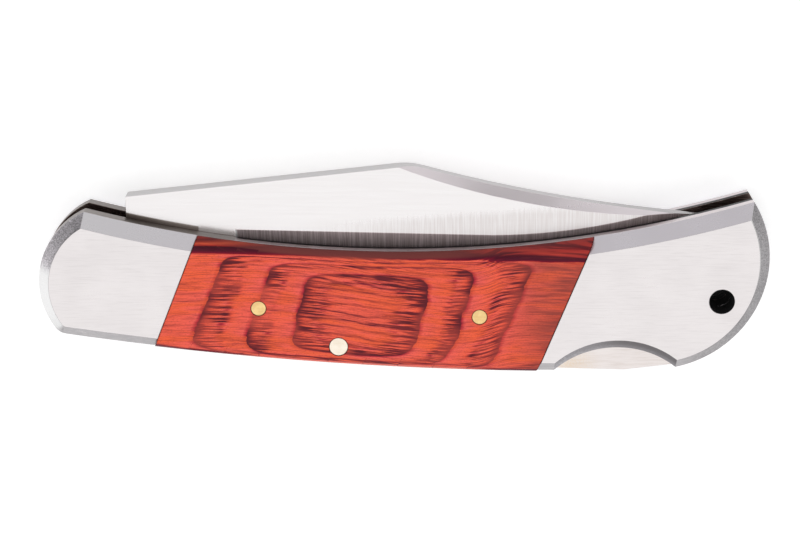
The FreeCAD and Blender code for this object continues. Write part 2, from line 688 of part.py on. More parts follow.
def draw_blade_profile():
    """The blade and ricasso seen from the side, with the tang ending inside the cam."""
    sketch = new_sketch("blade_profile", "Places.blade_far")
    pen = Pen(sketch)
    shoulder = size("Places.shoulder"), size("Sizes.spine_height")
    peak = size("Sizes.peak_place"), size("Sizes.peak_height")
    tip = size("Places.tip"), size("Sizes.tip_height")
    clip_r, round_r = size("Sizes.clip_radius"), size("Sizes.peak_round")
    belly_r = size("Places.belly_radius")
    clip = crossing((*peak, clip_r), (*tip, clip_r), (peak[0], peak[1] + clip_r))
    slope = math.radians(size("Places.spine_slope"))
    along, down = (math.cos(slope), math.sin(slope)), (math.sin(slope), -math.cos(slope))
    base = peak[0] + round_r * down[0], peak[1] + round_r * down[1]
    reach = clip_r + round_r
    back = [base[i] - clip[i] for i in (0, 1)]
    b_half = back[0] * along[0] + back[1] * along[1]
    step = -b_half - math.sqrt(b_half**2 - (back[0] ** 2 + back[1] ** 2 - reach**2))
    knuckle = base[0] + step * along[0], base[1] + step * along[1]
    spine_end = knuckle[0] - round_r * down[0], knuckle[1] - round_r * down[1]
    clip_start = towards(clip, knuckle, clip_r)
    belly_start = size("Sizes.belly_start"), size("Sizes.edge_height")
    edge = math.radians(size("Places.edge_slope"))
    belly = belly_start[0] + belly_r * math.sin(edge), belly_start[1] + belly_r * math.cos(edge)
    heel = size("Places.plunge"), size("Places.heel_height")
    spine = pen.line(shoulder, spine_end)
    peak_arc = pen.arc(knuckle, clip_start, spine_end)
    clip_arc = pen.arc(clip, clip_start, tip)
    belly_arc = pen.arc(belly, belly_start, tip)
    edge_line = pen.line(heel, belly_start)
    pen.tie("Tangent", spine, 2, peak_arc, 2)
    pen.tie("Tangent", peak_arc, 1, clip_arc, 1)
    pen.tie("Coincident", clip_arc, 2, belly_arc, 2)
    pen.tie("Tangent", edge_line, 2, belly_arc, 1)
    peak_point = sketch.addGeometry(Part.Point(V(*peak, 0)), True)
    pen.hold(peak_point, 1, "Sizes.peak_place", "Sizes.peak_height")
    pen.tie("PointOnObject", peak_point, 1, spine)
    pen.tie("PointOnObject", peak_point, 1, clip_arc)
    pen.hold(spine, 1, "Places.shoulder", "Sizes.spine_height")
    pen.measure("Radius", "Sizes.peak_round", peak_arc)
    pen.measure("Radius", "Sizes.clip_radius", clip_arc)
    pen.hold(clip_arc, 2, "Places.tip", "Sizes.tip_height")
    pen.hold(edge_line, 1, "Places.plunge", "Places.heel_height")
    pen.hold(edge_line, 2, "Sizes.belly_start", "Sizes.edge_height")
    turn = "Sizes.cam_start_angle * 1deg"
    tang = [
        ("Places.plunge", "Places.heel_height"),
        ("Places.pivot + Sizes.ricasso_offset", "Places.heel_height"),
        (f"Places.pivot + Sizes.cam_radius * cos({turn})", f"-Sizes.cam_radius * sin({turn})"),
        ("Places.pivot", "0"),
        ("Places.shoulder", "Sizes.cam_radius / 2"),
        ("Places.shoulder", "Sizes.spine_height"),
    ]
    points = [(size(x), size(y)) for x, y in tang]
    lines = [pen.line(a, b) for a, b in zip(points, points[1:])]
    pen.tie("Coincident", edge_line, 1, lines[0], 1)
    for number in range(len(lines) - 1):
        pen.tie("Coincident", lines[number], 2, lines[number + 1], 1)
        pen.hold(lines[number], 2, *tang[number + 1])
    pen.tie("Coincident", lines[-1], 2, spine, 1)
    return sketch


def lock_prism(name, corners, angle):
    """A prism through the blade's layer, its corners measured from the pivot, in axes turned by an angle."""
    sketch = DOC.addObject("Sketcher::SketchObject", f"{name}_corners")
    Pen(sketch).polygon(corners)
    put(sketch, "Places.pivot", "0", "Places.blade_far", turn=angle)
    return extrude(name, sketch, "Sizes.blade_thickness")


def bevel_cutter():
    """What the near bevel removes: from the edge's line at its land up to the grind line at the face."""
    share = "Sizes.cutter_overrun"
    low_height = f"Places.middle + Sizes.edge_thickness / 2 - {share} * Places.bevel_depth"
    high_height = f"Places.blade_near + {share} * Places.bevel_depth"
    low = edge_region("bevel_edge_line", low_height, f"-{share} * Sizes.bevel_height")
    high = edge_region("bevel_grind_line", high_height, f"(1 + {share}) * Sizes.bevel_height")
    return loft("bevel_cutter", low, high)


def swage_cutter():
    """What the near swage removes along the clip."""
    share = "Sizes.cutter_overrun"
    low = above_arc(
        "swage_spine_line",
        f"Places.blade_near - (1 + {share}) * Sizes.swage_depth",
        f"-{share} * Sizes.swage_drop",
        f"{share} * Sizes.swage_tip_rise",
        "Sizes.clip_radius",
    )
    high = above_arc(
        "swage_face_line",
        f"Places.blade_near + {share} * Sizes.swage_depth",
        f"(1 + {share}) * Sizes.swage_drop",
        f"(1 + {share}) * Sizes.swage_tip_rise",
        f"(1 - {share}) * Sizes.swage_radius",
    )
    return loft("swage_cutter", low, high)


def nick_cutter():
    """The wheel that cuts the nail nick into the far face, its flat side towards the spine."""
    wheel = DOC.addObject("Part::Cone", "nick_wheel")
    bind(
        wheel,
        Radius1="Sizes.nick_wheel_radius",
        Radius2="Sizes.nick_wheel_radius - Sizes.nick_depth",
        Height="Sizes.nick_width",
    )
    slope = size("Places.spine_slope")
    wheel.Placement.Rotation = FreeCAD.Rotation(Z_AXIS, slope) * FreeCAD.Rotation(V(1, 0, 0), 90)
    spine = "Sizes.spine_height + (Sizes.nick_place - Places.shoulder) * tan(Places.spine_slope)"
    return put(
        wheel,
        "Sizes.nick_place",
        f"{spine} - Sizes.nick_drop",
        "Places.blade_far + Sizes.nick_depth - Sizes.nick_wheel_radius",
    )


def make_blade():
    """The blade, with its cam, lock notch, closed seat, bevels, swages and nail nick."""
    profile = extrude("blade_blank", draw_blade_profile(), "Sizes.blade_thickness")
    cam = rod("blade_cam", "Sizes.cam_radius", "Places.pivot", "0", "Places.blade_far", "Places.blade_near")
    blank = boolean("MultiFuse", "blade_with_cam", profile, cam)
    notch = lock_prism(
        "lock_notch",
        [
            ("Sizes.shoulder_offset - Sizes.notch_width", "Places.notch_floor"),
            ("Sizes.shoulder_offset", "Places.notch_floor"),
            ("Sizes.shoulder_offset", "Sizes.spine_height + Sizes.notch_width"),
            ("Sizes.shoulder_offset - Sizes.notch_width", "Sizes.spine_height + Sizes.notch_width"),
        ],
        "0",
    )
    stop = "Places.tooth_front + Sizes.stop_clearance"
    seat = lock_prism(
        "closed_seat",
        [
            ("Places.tooth_back - Sizes.seat_clearance", "Places.notch_floor"),
            (stop, "Places.notch_floor"),
            (f"{stop} + Sizes.seat_ramp", "Places.notch_floor + Sizes.seat_ramp"),
            (f"{stop} + Sizes.seat_ramp", "Sizes.spine_height"),
            ("Places.tooth_back - Sizes.seat_clearance", "Sizes.spine_height"),
        ],
        "Sizes.open_angle",
    )
    hole = rod(
        "blade_pivot_hole",
        "Sizes.pivot_diameter / 2 + Sizes.pin_clearance",
        "Places.pivot",
        "0",
        "Places.blade_far",
        "Places.blade_near",
    )
    bevel, swage = bevel_cutter(), swage_cutter()
    cutters = [notch, seat, hole, bevel, mirrored("bevel_cutter_far", bevel), swage]
    cutters += [mirrored("swage_cutter_far", swage), nick_cutter()]
    blade = blank
    for number, cutter in enumerate(cutters):
        last = number == len(cutters) - 1
        blade = boolean("Cut", "blade" if last else f"blade_cut_{number}", blade, cutter)
    return blade


def draw_bar_profile():
    """The lock bar seen from the side: flush with the handle's back, then proud of it at the tail."""
    sketch = new_sketch("lock_bar_profile", "Places.blade_far")
    pen = Pen(sketch)
    chain = [
        ("Places.proud_start", "Places.proud_height"),
        ("Places.tail_start", "Places.tail_start_height"),
        ("Places.tail_corner", "Places.tail_corner_height"),
        ("Places.tail_end", "Places.tail_end_height"),
        ("Places.tail_end", "Places.tail_top"),
        ("Places.lock_pin", "Places.bar_top"),
        ("Places.bar_front", "Places.lock_pin_height + Sizes.bar_front_rise"),
        ("Places.bar_front", "Places.bar_front_height"),
    ]
    points = [(size(x), size(y)) for x, y in chain]
    back = size("Sizes.back_low_place"), size("Places.back_centre_height")
    arc = pen.arc(back, points[-1], points[0])
    lines = [pen.line(a, b) for a, b in zip(points, points[1:])]
    for piece, following in zip([arc, *lines], [*lines, arc]):
        pen.tie("Coincident", piece, 2, following, 1)
    for number, line in enumerate(lines):
        pen.hold(line, 2, *chain[number + 1])
    pen.hold(arc, 2, chain[0][0])
    pen.hold(arc, 3, "Sizes.back_low_place")
    pen.measure("Radius", "Sizes.back_radius", arc)
    return sketch


def make_lock_bar():
    """The lock bar, with its tooth, the relief under the cam and the bore for its pin."""
    bar = extrude("lock_bar_blank", draw_bar_profile(), "Sizes.blade_thickness")
    relief = rod(
        "lock_bar_relief",
        "Sizes.cam_radius + Sizes.lock_drop + Sizes.cam_relief",
        "Places.pivot",
        "0",
        "Places.blade_far",
        "Places.blade_near",
    )
    front = lock_prism(
        "lock_bar_front",
        [
            ("Places.tooth_front", "0"),
            ("Places.tooth_front + 2 * Sizes.cam_radius", "0"),
            ("Places.tooth_front + 2 * Sizes.cam_radius", "2 * Sizes.spine_height"),
            ("Places.tooth_front", "2 * Sizes.spine_height"),
        ],
        "Sizes.open_angle",
    )
    trimmed = cut_away("lock_bar_trimmed", bar, relief, front)
    root = "Sizes.cam_radius + Sizes.lock_drop + Sizes.cam_relief + Sizes.notch_width / 2"
    tooth = lock_prism(
        "lock_bar_tooth",
        [
            ("Places.tooth_back", "Places.tooth_tip"),
            ("Places.tooth_front", "Places.tooth_tip"),
            ("Places.tooth_front", root),
            ("Places.tooth_back", root),
        ],
        "Sizes.open_angle",
    )
    solid = boolean("MultiFuse", "lock_bar_solid", trimmed, tooth)
    bore = rod(
        "lock_bar_bore",
        "Sizes.lock_pin_diameter / 2 + Sizes.pin_clearance",
        "Places.lock_pin",
        "Places.lock_pin_height",
        "Places.blade_far",
        "Places.blade_near",
    )
    return boolean("Cut", "lock_bar", solid, bore)


def make_spring():
    """The back spring: a leaf whose root sits in the spacer and whose tip bears on the lock bar's tail."""
    body = DOC.addObject("PartDesign::Body", "back_spring")
    sketch = body_sketch(body, "back_spring_profile", "Places.far_inner + Sizes.spring_side_gap")
    pen = Pen(sketch)
    face, low = size("Places.spacer_face"), size("Places.spring_low")
    radius, thick = size("Places.spring_radius"), size("Sizes.spring_thickness")
    centre = face, low - radius
    tip = size("Places.spring_tip"), size("Places.spring_tip_height")
    tip_top = towards(centre, tip, radius + thick)
    root = size("Places.spacer_face + Sizes.spring_root_length")
    lower = pen.arc(centre, (face, low), tip)
    upper = pen.arc(centre, (face, low + thick), tip_top)
    end = pen.line(tip, tip_top)
    over = pen.line((face, low + thick), (root, low + thick))
    heel = pen.line((root, low + thick), (root, low))
    under = pen.line((root, low), (face, low))
    pen.tie("Coincident", lower, 2, end, 1)
    pen.tie("Coincident", end, 2, upper, 2)
    pen.tie("Coincident", upper, 1, over, 1)
    pen.tie("Coincident", over, 2, heel, 1)
    pen.tie("Coincident", heel, 2, under, 1)
    pen.tie("Coincident", under, 2, lower, 1)
    pen.tie("Coincident", lower, 3, upper, 3)
    pen.tie("PointOnObject", lower, 3, end)
    pen.hold(lower, 3, "Places.spacer_face", "Places.spring_low - Places.spring_radius")
    pen.hold(lower, 2, "Places.spring_tip")
    pen.measure("Radius", "Places.spring_radius", lower)
    pen.measure("Radius", "Places.spring_radius + Sizes.spring_thickness", upper)
    pen.hold(over, 1, "Places.spacer_face")
    heel_place = "Places.spacer_face + Sizes.spring_root_length"
    pen.hold(heel, 1, heel_place, "Places.spring_low + Sizes.spring_thickness")
    pen.hold(heel, 2, heel_place, "Places.spring_low")
    pen.hold(under, 2, "Places.spacer_face")
    pad(body, "back_spring_leaf", sketch, "Places.near_inner - Places.far_inner - 2 * Sizes.spring_side_gap")
    return body


def make_spacer():
    """The rear spacer, which fills the butt between the liners and holds the spring's root."""
    outline = draw_outline(new_sketch("spacer_outline", "Places.far_inner"))
    whole = extrude("spacer_outline_solid", outline, "Places.near_inner - Places.far_inner")
    past = "Sizes.closed_length"
    top = f"Sizes.spacer_top + Sizes.spacer_top_slope * ({past} - Places.spacer_face)"
    corners = [
        ("Places.spacer_face", f"-{past}"),
        (past, f"-{past}"),
        (past, top),
        ("Places.spacer_face", "Sizes.spacer_top"),
    ]
    region = block("spacer_region", corners, "Places.far_inner", "Places.near_inner")
    blank = boolean("MultiCommon", "spacer_blank", whole, region)
    low, high = "Places.spring_low", "Places.spring_low + Sizes.spring_thickness"
    deep = "Places.spacer_face + Sizes.spring_root_length"
    slot_corners = [
        ("Places.spacer_face - Sizes.spring_thickness", low),
        (deep, low),
        (deep, high),
        ("Places.spacer_face - Sizes.spring_thickness", high),
    ]
    slot = block("spring_slot", slot_corners, "Places.far_inner", "Places.near_inner")
    holes = [
        rod(f"spacer_hole_{number}", *hole, "Places.far_inner", "Places.near_inner")
        for number, hole in enumerate((UPPER_SPACER_HOLE, LOWER_SPACER_HOLE, LANYARD_HOLE))
    ]
    return cut_away("rear_spacer", blank, slot, *holes)


def make_pins():
    """The pins through the handle and the rivets of the front bolsters."""
    pins = [
        rod("pivot_pin", *PIVOT_HOLE, BLIND_FAR, BLIND_NEAR),
        rod("lock_bar_pin", *LOCK_PIN_HOLE, FAR_FACE, NEAR_FACE),
        rod("front_handle_pin", *FRONT_PIN_HOLE, FAR_FACE, NEAR_FACE),
        rod("rear_handle_pin", *REAR_PIN_HOLE, FAR_FACE, NEAR_FACE),
        rod("upper_spacer_pin", *UPPER_SPACER_HOLE, BLIND_FAR, BLIND_NEAR),
        rod("lower_spacer_pin", *LOWER_SPACER_HOLE, BLIND_FAR, BLIND_NEAR),
    ]
    rivets = [
        rod(f"front_rivet_{number}", *hole, "Places.near_inner", BLIND_NEAR)
        for number, hole in enumerate((UPPER_RIVET_HOLE, LOWER_RIVET_HOLE))
    ]
    near = DOC.addObject("Part::Compound", "front_bolster_rivets_near")
    near.Links = rivets
    return pins + [near, mirrored("front_bolster_rivets_far", near)]


def check(pieces):
    """Stops where an object of the document or a finished piece is not sound."""
    for thing in DOC.Objects:
        faults = {"Invalid", "Error"} & set(thing.State)
        if faults:
            raise RuntimeError(f"{thing.Name}: {', '.join(thing.State)}")
    for piece in pieces:
        if piece.Shape.isNull() or not piece.Shape.isValid() or not piece.Shape.Solids:
            raise RuntimeError(f"{piece.Label} has no sound shape")


def main():
    """Builds every piece, checks them and writes one STEP file each."""
    pieces = make_bolsters()
    pieces.append(make_liner("liner_near", "Places.near_inner"))
    pieces.append(make_liner("liner_far", "Sizes.cover_thickness"))
    scale = make_scale("scale_near")
    pieces += [scale, mirrored("scale_far", scale), make_blade(), make_lock_bar()]
    pieces += [make_spring(), make_spacer(), *make_pins()]
    DOC.recompute()
    check(pieces)
    os.makedirs("parts", exist_ok=True)
    for piece in pieces:
        piece.Shape.exportStep(f"parts/{piece.Label}.step")
        box = piece.Shape.BoundBox
        reach = f"X {box.XMin:7.2f}..{box.XMax:6.2f}  Y {box.YMin:7.2f}..{box.YMax:6.2f}"
        print(f"{piece.Label:28s} {piece.Shape.Volume:9.2f} mm3  {reach}  Z {box.ZMin:5.2f}..{box.ZMax:5.2f}")


main()
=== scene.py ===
"""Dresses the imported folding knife: finished pieces, ground and brushed steel, laminated wood, a pale studio.

Everything is in metres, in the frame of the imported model: X along the handle from the pivot to the butt,
Y from the handle's back to the blade slot, Z up from the floor that the knife lies on, through the handle's
thickness. Finishes give their places in millimetres of the same frame.
"""

from __future__ import annotations

import json
import logging
import math
from dataclasses import dataclass, field
from enum import Enum
from typing import Iterable, NamedTuple, Union

import bpy
from mathutils import Euler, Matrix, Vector

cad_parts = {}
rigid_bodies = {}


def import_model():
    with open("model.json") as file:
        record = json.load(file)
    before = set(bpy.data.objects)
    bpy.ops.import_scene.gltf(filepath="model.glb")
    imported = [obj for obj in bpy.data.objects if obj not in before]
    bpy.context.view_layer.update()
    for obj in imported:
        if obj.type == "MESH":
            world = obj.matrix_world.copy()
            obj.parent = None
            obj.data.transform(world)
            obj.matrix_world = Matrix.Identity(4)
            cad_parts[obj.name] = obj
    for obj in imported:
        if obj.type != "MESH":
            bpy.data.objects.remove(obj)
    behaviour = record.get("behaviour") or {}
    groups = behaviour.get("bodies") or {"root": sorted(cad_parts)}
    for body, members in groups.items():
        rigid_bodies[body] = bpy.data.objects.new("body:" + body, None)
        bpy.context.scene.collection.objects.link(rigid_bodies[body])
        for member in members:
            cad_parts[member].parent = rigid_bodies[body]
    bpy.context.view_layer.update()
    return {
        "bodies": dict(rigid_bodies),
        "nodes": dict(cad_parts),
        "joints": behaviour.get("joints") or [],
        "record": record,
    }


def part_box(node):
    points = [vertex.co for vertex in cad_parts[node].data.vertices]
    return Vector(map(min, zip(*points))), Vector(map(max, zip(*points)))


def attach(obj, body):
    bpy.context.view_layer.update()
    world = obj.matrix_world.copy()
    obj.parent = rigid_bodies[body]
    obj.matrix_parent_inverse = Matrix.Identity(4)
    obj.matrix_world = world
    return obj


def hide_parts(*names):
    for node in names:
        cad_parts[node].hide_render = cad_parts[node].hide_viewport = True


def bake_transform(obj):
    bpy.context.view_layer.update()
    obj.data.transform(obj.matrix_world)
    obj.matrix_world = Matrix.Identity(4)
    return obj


LOG = logging.getLogger("knife")
MM = 0.001
SCRATCH_DEPTH = 0.02 * MM

Colour = tuple[float, float, float]
Place = tuple[float, float, float]
Socket = bpy.types.NodeSocket
Input = Union[float, tuple, Socket]


class Body(Enum):
    """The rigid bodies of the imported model."""

    HANDLE = "handle"
    BLADE = "blade"
    LOCK_BAR = "lock_bar"


class Slot(Enum):
    """The record's material slots."""

    BLADE = "blade_steel"
    LOCK = "lock_steel"
    SPRING = "spring_steel"
    LINER = "liner_steel"
    BOLSTER = "bolster_steel"
    HIDDEN_PIN = "hidden_pin_steel"
    WOOD = "laminated_wood"
    BRASS = "brass"
    PALE_BRASS = "pale_brass"


# ----------------------------------------------------------------------------------------------------------
# Nodes and groups


@dataclass(frozen=True)
class Noise:
    """Noise on stretched coordinates: its waves per unit along each axis, and where it starts."""

    stretch: Place
    shift: Place = (0.0, 0.0, 0.0)
    detail: float = 2.0
    rough: float = 0.5


class Shader:
    """Adds nodes to one tree and joins them."""

    def __init__(self, tree: bpy.types.NodeTree) -> None:
        """Starts on a tree.

        Args:
            tree: the tree that the nodes go in.
        """
        self.tree = tree
        self.count = 0

    def put(self, socket: Socket, value: Input) -> None:
        """Feeds a socket.

        Args:
            socket: the input to feed.
            value: another node's output, or the number or tuple to set.
        """
        if isinstance(value, Socket):
            self.tree.links.new(value, socket)
        else:
            socket.default_value = value

    def node(
        self, kind: str, inputs: dict[Union[str, int], Input] | None = None, **settings: object
    ) -> bpy.types.Node:
        """Adds a node.

        Args:
            kind: the node's type, without the ShaderNode in front.
            inputs: what feeds its inputs, by name or number.
            **settings: the node's own properties.

        Returns:
            The new node.
        """
        made = self.tree.nodes.new(f"ShaderNode{kind}")
        self.count += 1
        made.location = (180 * (self.count % 12), -220 * (self.count // 12))
        for name, value in settings.items():
            setattr(made, name, value)
        for name, value in (inputs or {}).items():
            self.put(made.inputs[name], value)
        return made

    def math(self, operation: str, *values: Input, clamp: bool = False) -> Socket:
        """Adds a Math node and gives its output."""
        return self.node("Math", dict(enumerate(values)), operation=operation, use_clamp=clamp).outputs[0]

    def times(self, first: Input, *others: Input) -> Socket:
        """Multiplies values."""
        for other in others:
            first = self.math("MULTIPLY", first, other)
        return first

    def plus(self, first: Input, second: Input, clamp: bool = False) -> Socket:
        """Adds two values."""
        return self.math("ADD", first, second, clamp=clamp)

    def minus(self, first: Input, second: Input) -> Socket:
        """Takes the second value from the first."""
        return self.math("SUBTRACT", first, second)

    def rest(self, share: Input) -> Socket:
        """Gives what a share leaves of 1."""
        return self.math("SUBTRACT", 1.0, share)

    def absolute(self, value: Input) -> Socket:
        """Gives a value without its sign."""
        return self.math("ABSOLUTE", value)

    def vectors(self, operation: str, *values: Input) -> Socket:
        """Adds a Vector Math node and gives its output, a number for a length or a dot product."""
        made = self.node("VectorMath", dict(enumerate(values)), operation=operation)
        return made.outputs["Value" if operation in ("DOT_PRODUCT", "LENGTH") else "Vector"]

    def parts(self, vector: Input) -> list[Socket]:
        """Splits a vector into its three numbers."""
        return list(self.node("SeparateXYZ", {0: vector}).outputs)

    def away(self, place: Input, centre: Place, weights: Place) -> Socket:
        """Gives the distance from a centre, each axis counting by its weight."""
        aside = self.vectors("MULTIPLY", self.vectors("SUBTRACT", place, centre), weights)
        return self.vectors("LENGTH", aside)

    def mix(self, factor: Input, first: Input, second: Input, blend: str = "MIX") -> Socket:
        """Mixes two colours and gives the result."""
        made = self.node("Mix", data_type="RGBA", blend_type=blend)
        for number, value in ((0, factor), (6, first), (7, second)):
            if isinstance(value, tuple) and len(value) == 3:
                value = (*value, 1.0)
            self.put(made.inputs[number], value)
        return made.outputs[2]

    def fade(self, value: Input, low: float, high: float, start: float = 0.0, end: float = 1.0) -> Socket:
        """Fades smoothly from start to end as a value goes from low to high."""
        inputs = {0: value, 1: low, 2: high, 3: start, 4: end}
        return self.node("MapRange", inputs, interpolation_type="SMOOTHSTEP").outputs[0]

    def noise(self, vector: Input, scale: float, detail: float = 2.0, rough: float = 0.5) -> Socket:
        """Adds noise and gives its value, about 0.5 in the middle."""
        inputs = {"Vector": vector, "Scale": scale, "Detail": detail, "Roughness": rough}
        return self.node("TexNoise", inputs).outputs[0]

    def streaked(self, vector: Input, noise: Noise) -> Socket:
        """Adds noise on stretched coordinates and gives its value."""
        place = self.stretched(vector, noise.stretch, noise.shift)
        return self.noise(place, 1.0, noise.detail, noise.rough)

    def stretched(self, vector: Input, scale: Place, shift: Place = (0.0, 0.0, 0.0)) -> Socket:
        """Stretches and shifts coordinates."""
        return self.node("Mapping", {"Vector": vector, "Scale": scale, "Location": shift}).outputs[0]

    def ramp(self, value: Input, stops: Iterable[tuple[float, Colour]]) -> Socket:
        """Adds a colour ramp and gives its colour."""
        made = self.node("ValToRGB", {0: value})
        elements = made.color_ramp.elements
        stops = list(stops)
        while len(elements) < len(stops):
            elements.new(0.5)
        for element, (place, colour) in zip(elements, stops):
            element.position = place
            element.color = (*colour, 1.0)
        return made.outputs[0]

    def curve(self, value: Input, points: tuple[tuple[float, float], ...]) -> Socket:
        """Follows a smooth curve through a few points, none of them lower than 0.

        Args:
            value: what runs along the curve.
            points: places along it and heights there.

        Returns:
            The height at the value.
        """
        low, high = points[0][0], points[-1][0]
        top = max(height for _, height in points)
        share = self.node("MapRange", {0: value, 1: low, 2: high, 3: 0.0, 4: 1.0}).outputs[0]
        made = self.node("FloatCurve", {"Value": share})
        drawn = made.mapping.curves[0].points
        while len(drawn) < len(points):
            drawn.new(0.5, 0.5)
        for point, (place, height) in zip(drawn, points):
            point.location = ((place - low) / (high - low), height / top)
        made.mapping.update()
        return self.math("MULTIPLY", made.outputs[0], top)

    def millimetres(self) -> Socket:
        """Gives the object's own coordinates in millimetres."""
        place = self.node("TexCoord").outputs["Object"]
        return self.stretched(place, (1 / MM, 1 / MM, 1 / MM))

    def own_normal(self) -> list[Socket]:
        """Gives the three parts of the surface's direction in the piece's own frame."""
        return self.parts(self.node("TexCoord").outputs["Normal"])

    def group(self, name: str, **inputs: Input) -> bpy.types.Node:
        """Places a shader node group, its underscored input names standing for spaced ones."""
        made = self.node("Group", node_tree=bpy.data.node_groups[name])
        for key, value in inputs.items():
            self.put(made.inputs[key.replace("_", " ")], value)
        return made


class GroupMaker:
    """Starts a shader node group with named inputs and outputs."""

    def __init__(self, name: str, inputs: dict[str, object], outputs: dict[str, str]) -> None:
        """Makes the group and its sockets.

        Args:
            name: the group's name.
            inputs: each input's name and default; None makes a vector input.
            outputs: each output's name and kind, Float, Color or Vector.
        """
        self.tree = bpy.data.node_groups.new(name, "ShaderNodeTree")
        for key, default in inputs.items():
            kind = "Vector" if default is None else "Color" if isinstance(default, tuple) else "Float"
            socket = self.tree.interface.new_socket(key, in_out="INPUT", socket_type=f"NodeSocket{kind}")
            if default is not None:
                socket.default_value = (*default, 1.0) if isinstance(default, tuple) else default
        for key, kind in outputs.items():
            self.tree.interface.new_socket(key, in_out="OUTPUT", socket_type=f"NodeSocket{kind}")
        self.shader = Shader(self.tree)
        self.given = self.tree.nodes.new("NodeGroupInput").outputs
        self.taken = self.tree.nodes.new("NodeGroupOutput").inputs


def make_brushing() -> None:
    """The group Brushing: fine scratches along one direction, as a belt leaves them."""
    maker = GroupMaker(
        "Brushing",
        {"Vector": None, "Length": 12.0, "Width": 0.16, "Turn": 0.0},
        {"Value": "Float", "Patches": "Float"},
    )
    s = maker.shader
    turning = {"Vector": maker.given["Vector"], "Angle": maker.given["Turn"]}
    turned = s.node("VectorRotate", turning).outputs[0]
    split = s.parts(turned)
    along = s.math("DIVIDE", split[0], maker.given["Length"])
    across = s.math("DIVIDE", split[1], maker.given["Width"])
    height = s.math("DIVIDE", split[2], maker.given["Width"])
    lines = s.node("CombineXYZ", {0: along, 1: across, 2: height}).outputs[0]
    fine = s.noise(lines, 1.0, 3.0, 0.7)
    coarse = s.streaked(lines, Noise((2.3, 0.31, 0.31), (7.1, 3.3, 0.0)))
    s.put(maker.taken["Value"], s.plus(s.times(fine, 0.65), s.times(coarse, 0.35)))
    s.put(maker.taken["Patches"], s.noise(maker.given["Vector"], 0.16, 2.0))


def make_speckle() -> None:
    """The group Speckle: the grey grain that a facet shows where it was tumbled, not brushed."""
    maker = GroupMaker("Speckle", {"Vector": None, "Size": 0.22}, {"Value": "Float", "Facet": "Float"})
    s = maker.shader
    frequency = s.math("DIVIDE", 1.0, maker.given["Size"])
    made = s.node("TexNoise", {"Vector": maker.given["Vector"], "Scale": frequency, "Detail": 2.0})
    s.put(maker.taken["Value"], s.fade(made.outputs[0], 0.32, 0.68))
    upright = s.absolute(s.own_normal()[2])
    s.put(maker.taken["Facet"], s.fade(upright, 0.97, 0.9))


def make_edge_wear() -> None:
    """The group Edge wear: the uneven strip along an edge that rubbing changes."""
    maker = GroupMaker("Edge wear", {"Vector": None, "Reach": 0.16, "Amount": 0.5}, {"Mask": "Float"})
    s = maker.shader
    reach = s.times(maker.given["Reach"], MM)
    rounded = s.node("Bevel", {"Radius": reach}, samples=4).outputs[0]
    normal = s.node("NewGeometry").outputs["Normal"]
    likeness = s.vectors("DOT_PRODUCT", rounded, normal)
    edge = s.fade(likeness, 0.995, 0.9)
    uneven = s.fade(s.noise(maker.given["Vector"], 1.4, 3.0), 0.3, 0.7, 0.4, 1.0)
    s.put(maker.taken["Mask"], s.times(edge, uneven, maker.given["Amount"]))


def make_ring_mask() -> None:
    """The group Ring mask: walls and chamfers that face an upright axis from between two distances, in mm."""
    inputs = {"Vector": None, "X": 0.0, "Y": 0.0, "Inner": 0.0, "Outer": 1.0, "Tilt": 0.93}
    maker = GroupMaker("Ring mask", inputs, {"Mask": "Float"})
    s = maker.shader
    x, y, _ = s.parts(maker.given["Vector"])
    aside = s.minus(x, maker.given["X"])
    above = s.minus(y, maker.given["Y"])
    squares = s.plus(s.times(aside, aside), s.times(above, above))
    reach = s.math("SQRT", squares)
    past_inner = s.math("GREATER_THAN", reach, maker.given["Inner"])
    within = s.times(past_inner, s.math("LESS_THAN", reach, maker.given["Outer"]))
    along, across, upright = s.own_normal()
    tilted = s.math("LESS_THAN", s.absolute(upright), maker.given["Tilt"])
    directions = []
    for pair in ((aside, above), (along, across)):
        flat = s.node("CombineXYZ", {0: pair[0], 1: pair[1]}).outputs[0]
        directions.append(s.vectors("NORMALIZE", flat))
    likeness = s.vectors("DOT_PRODUCT", *directions)
    facing = s.math("GREATER_THAN", s.absolute(likeness), 0.85)
    s.put(maker.taken["Mask"], s.times(within, tilted, facing))


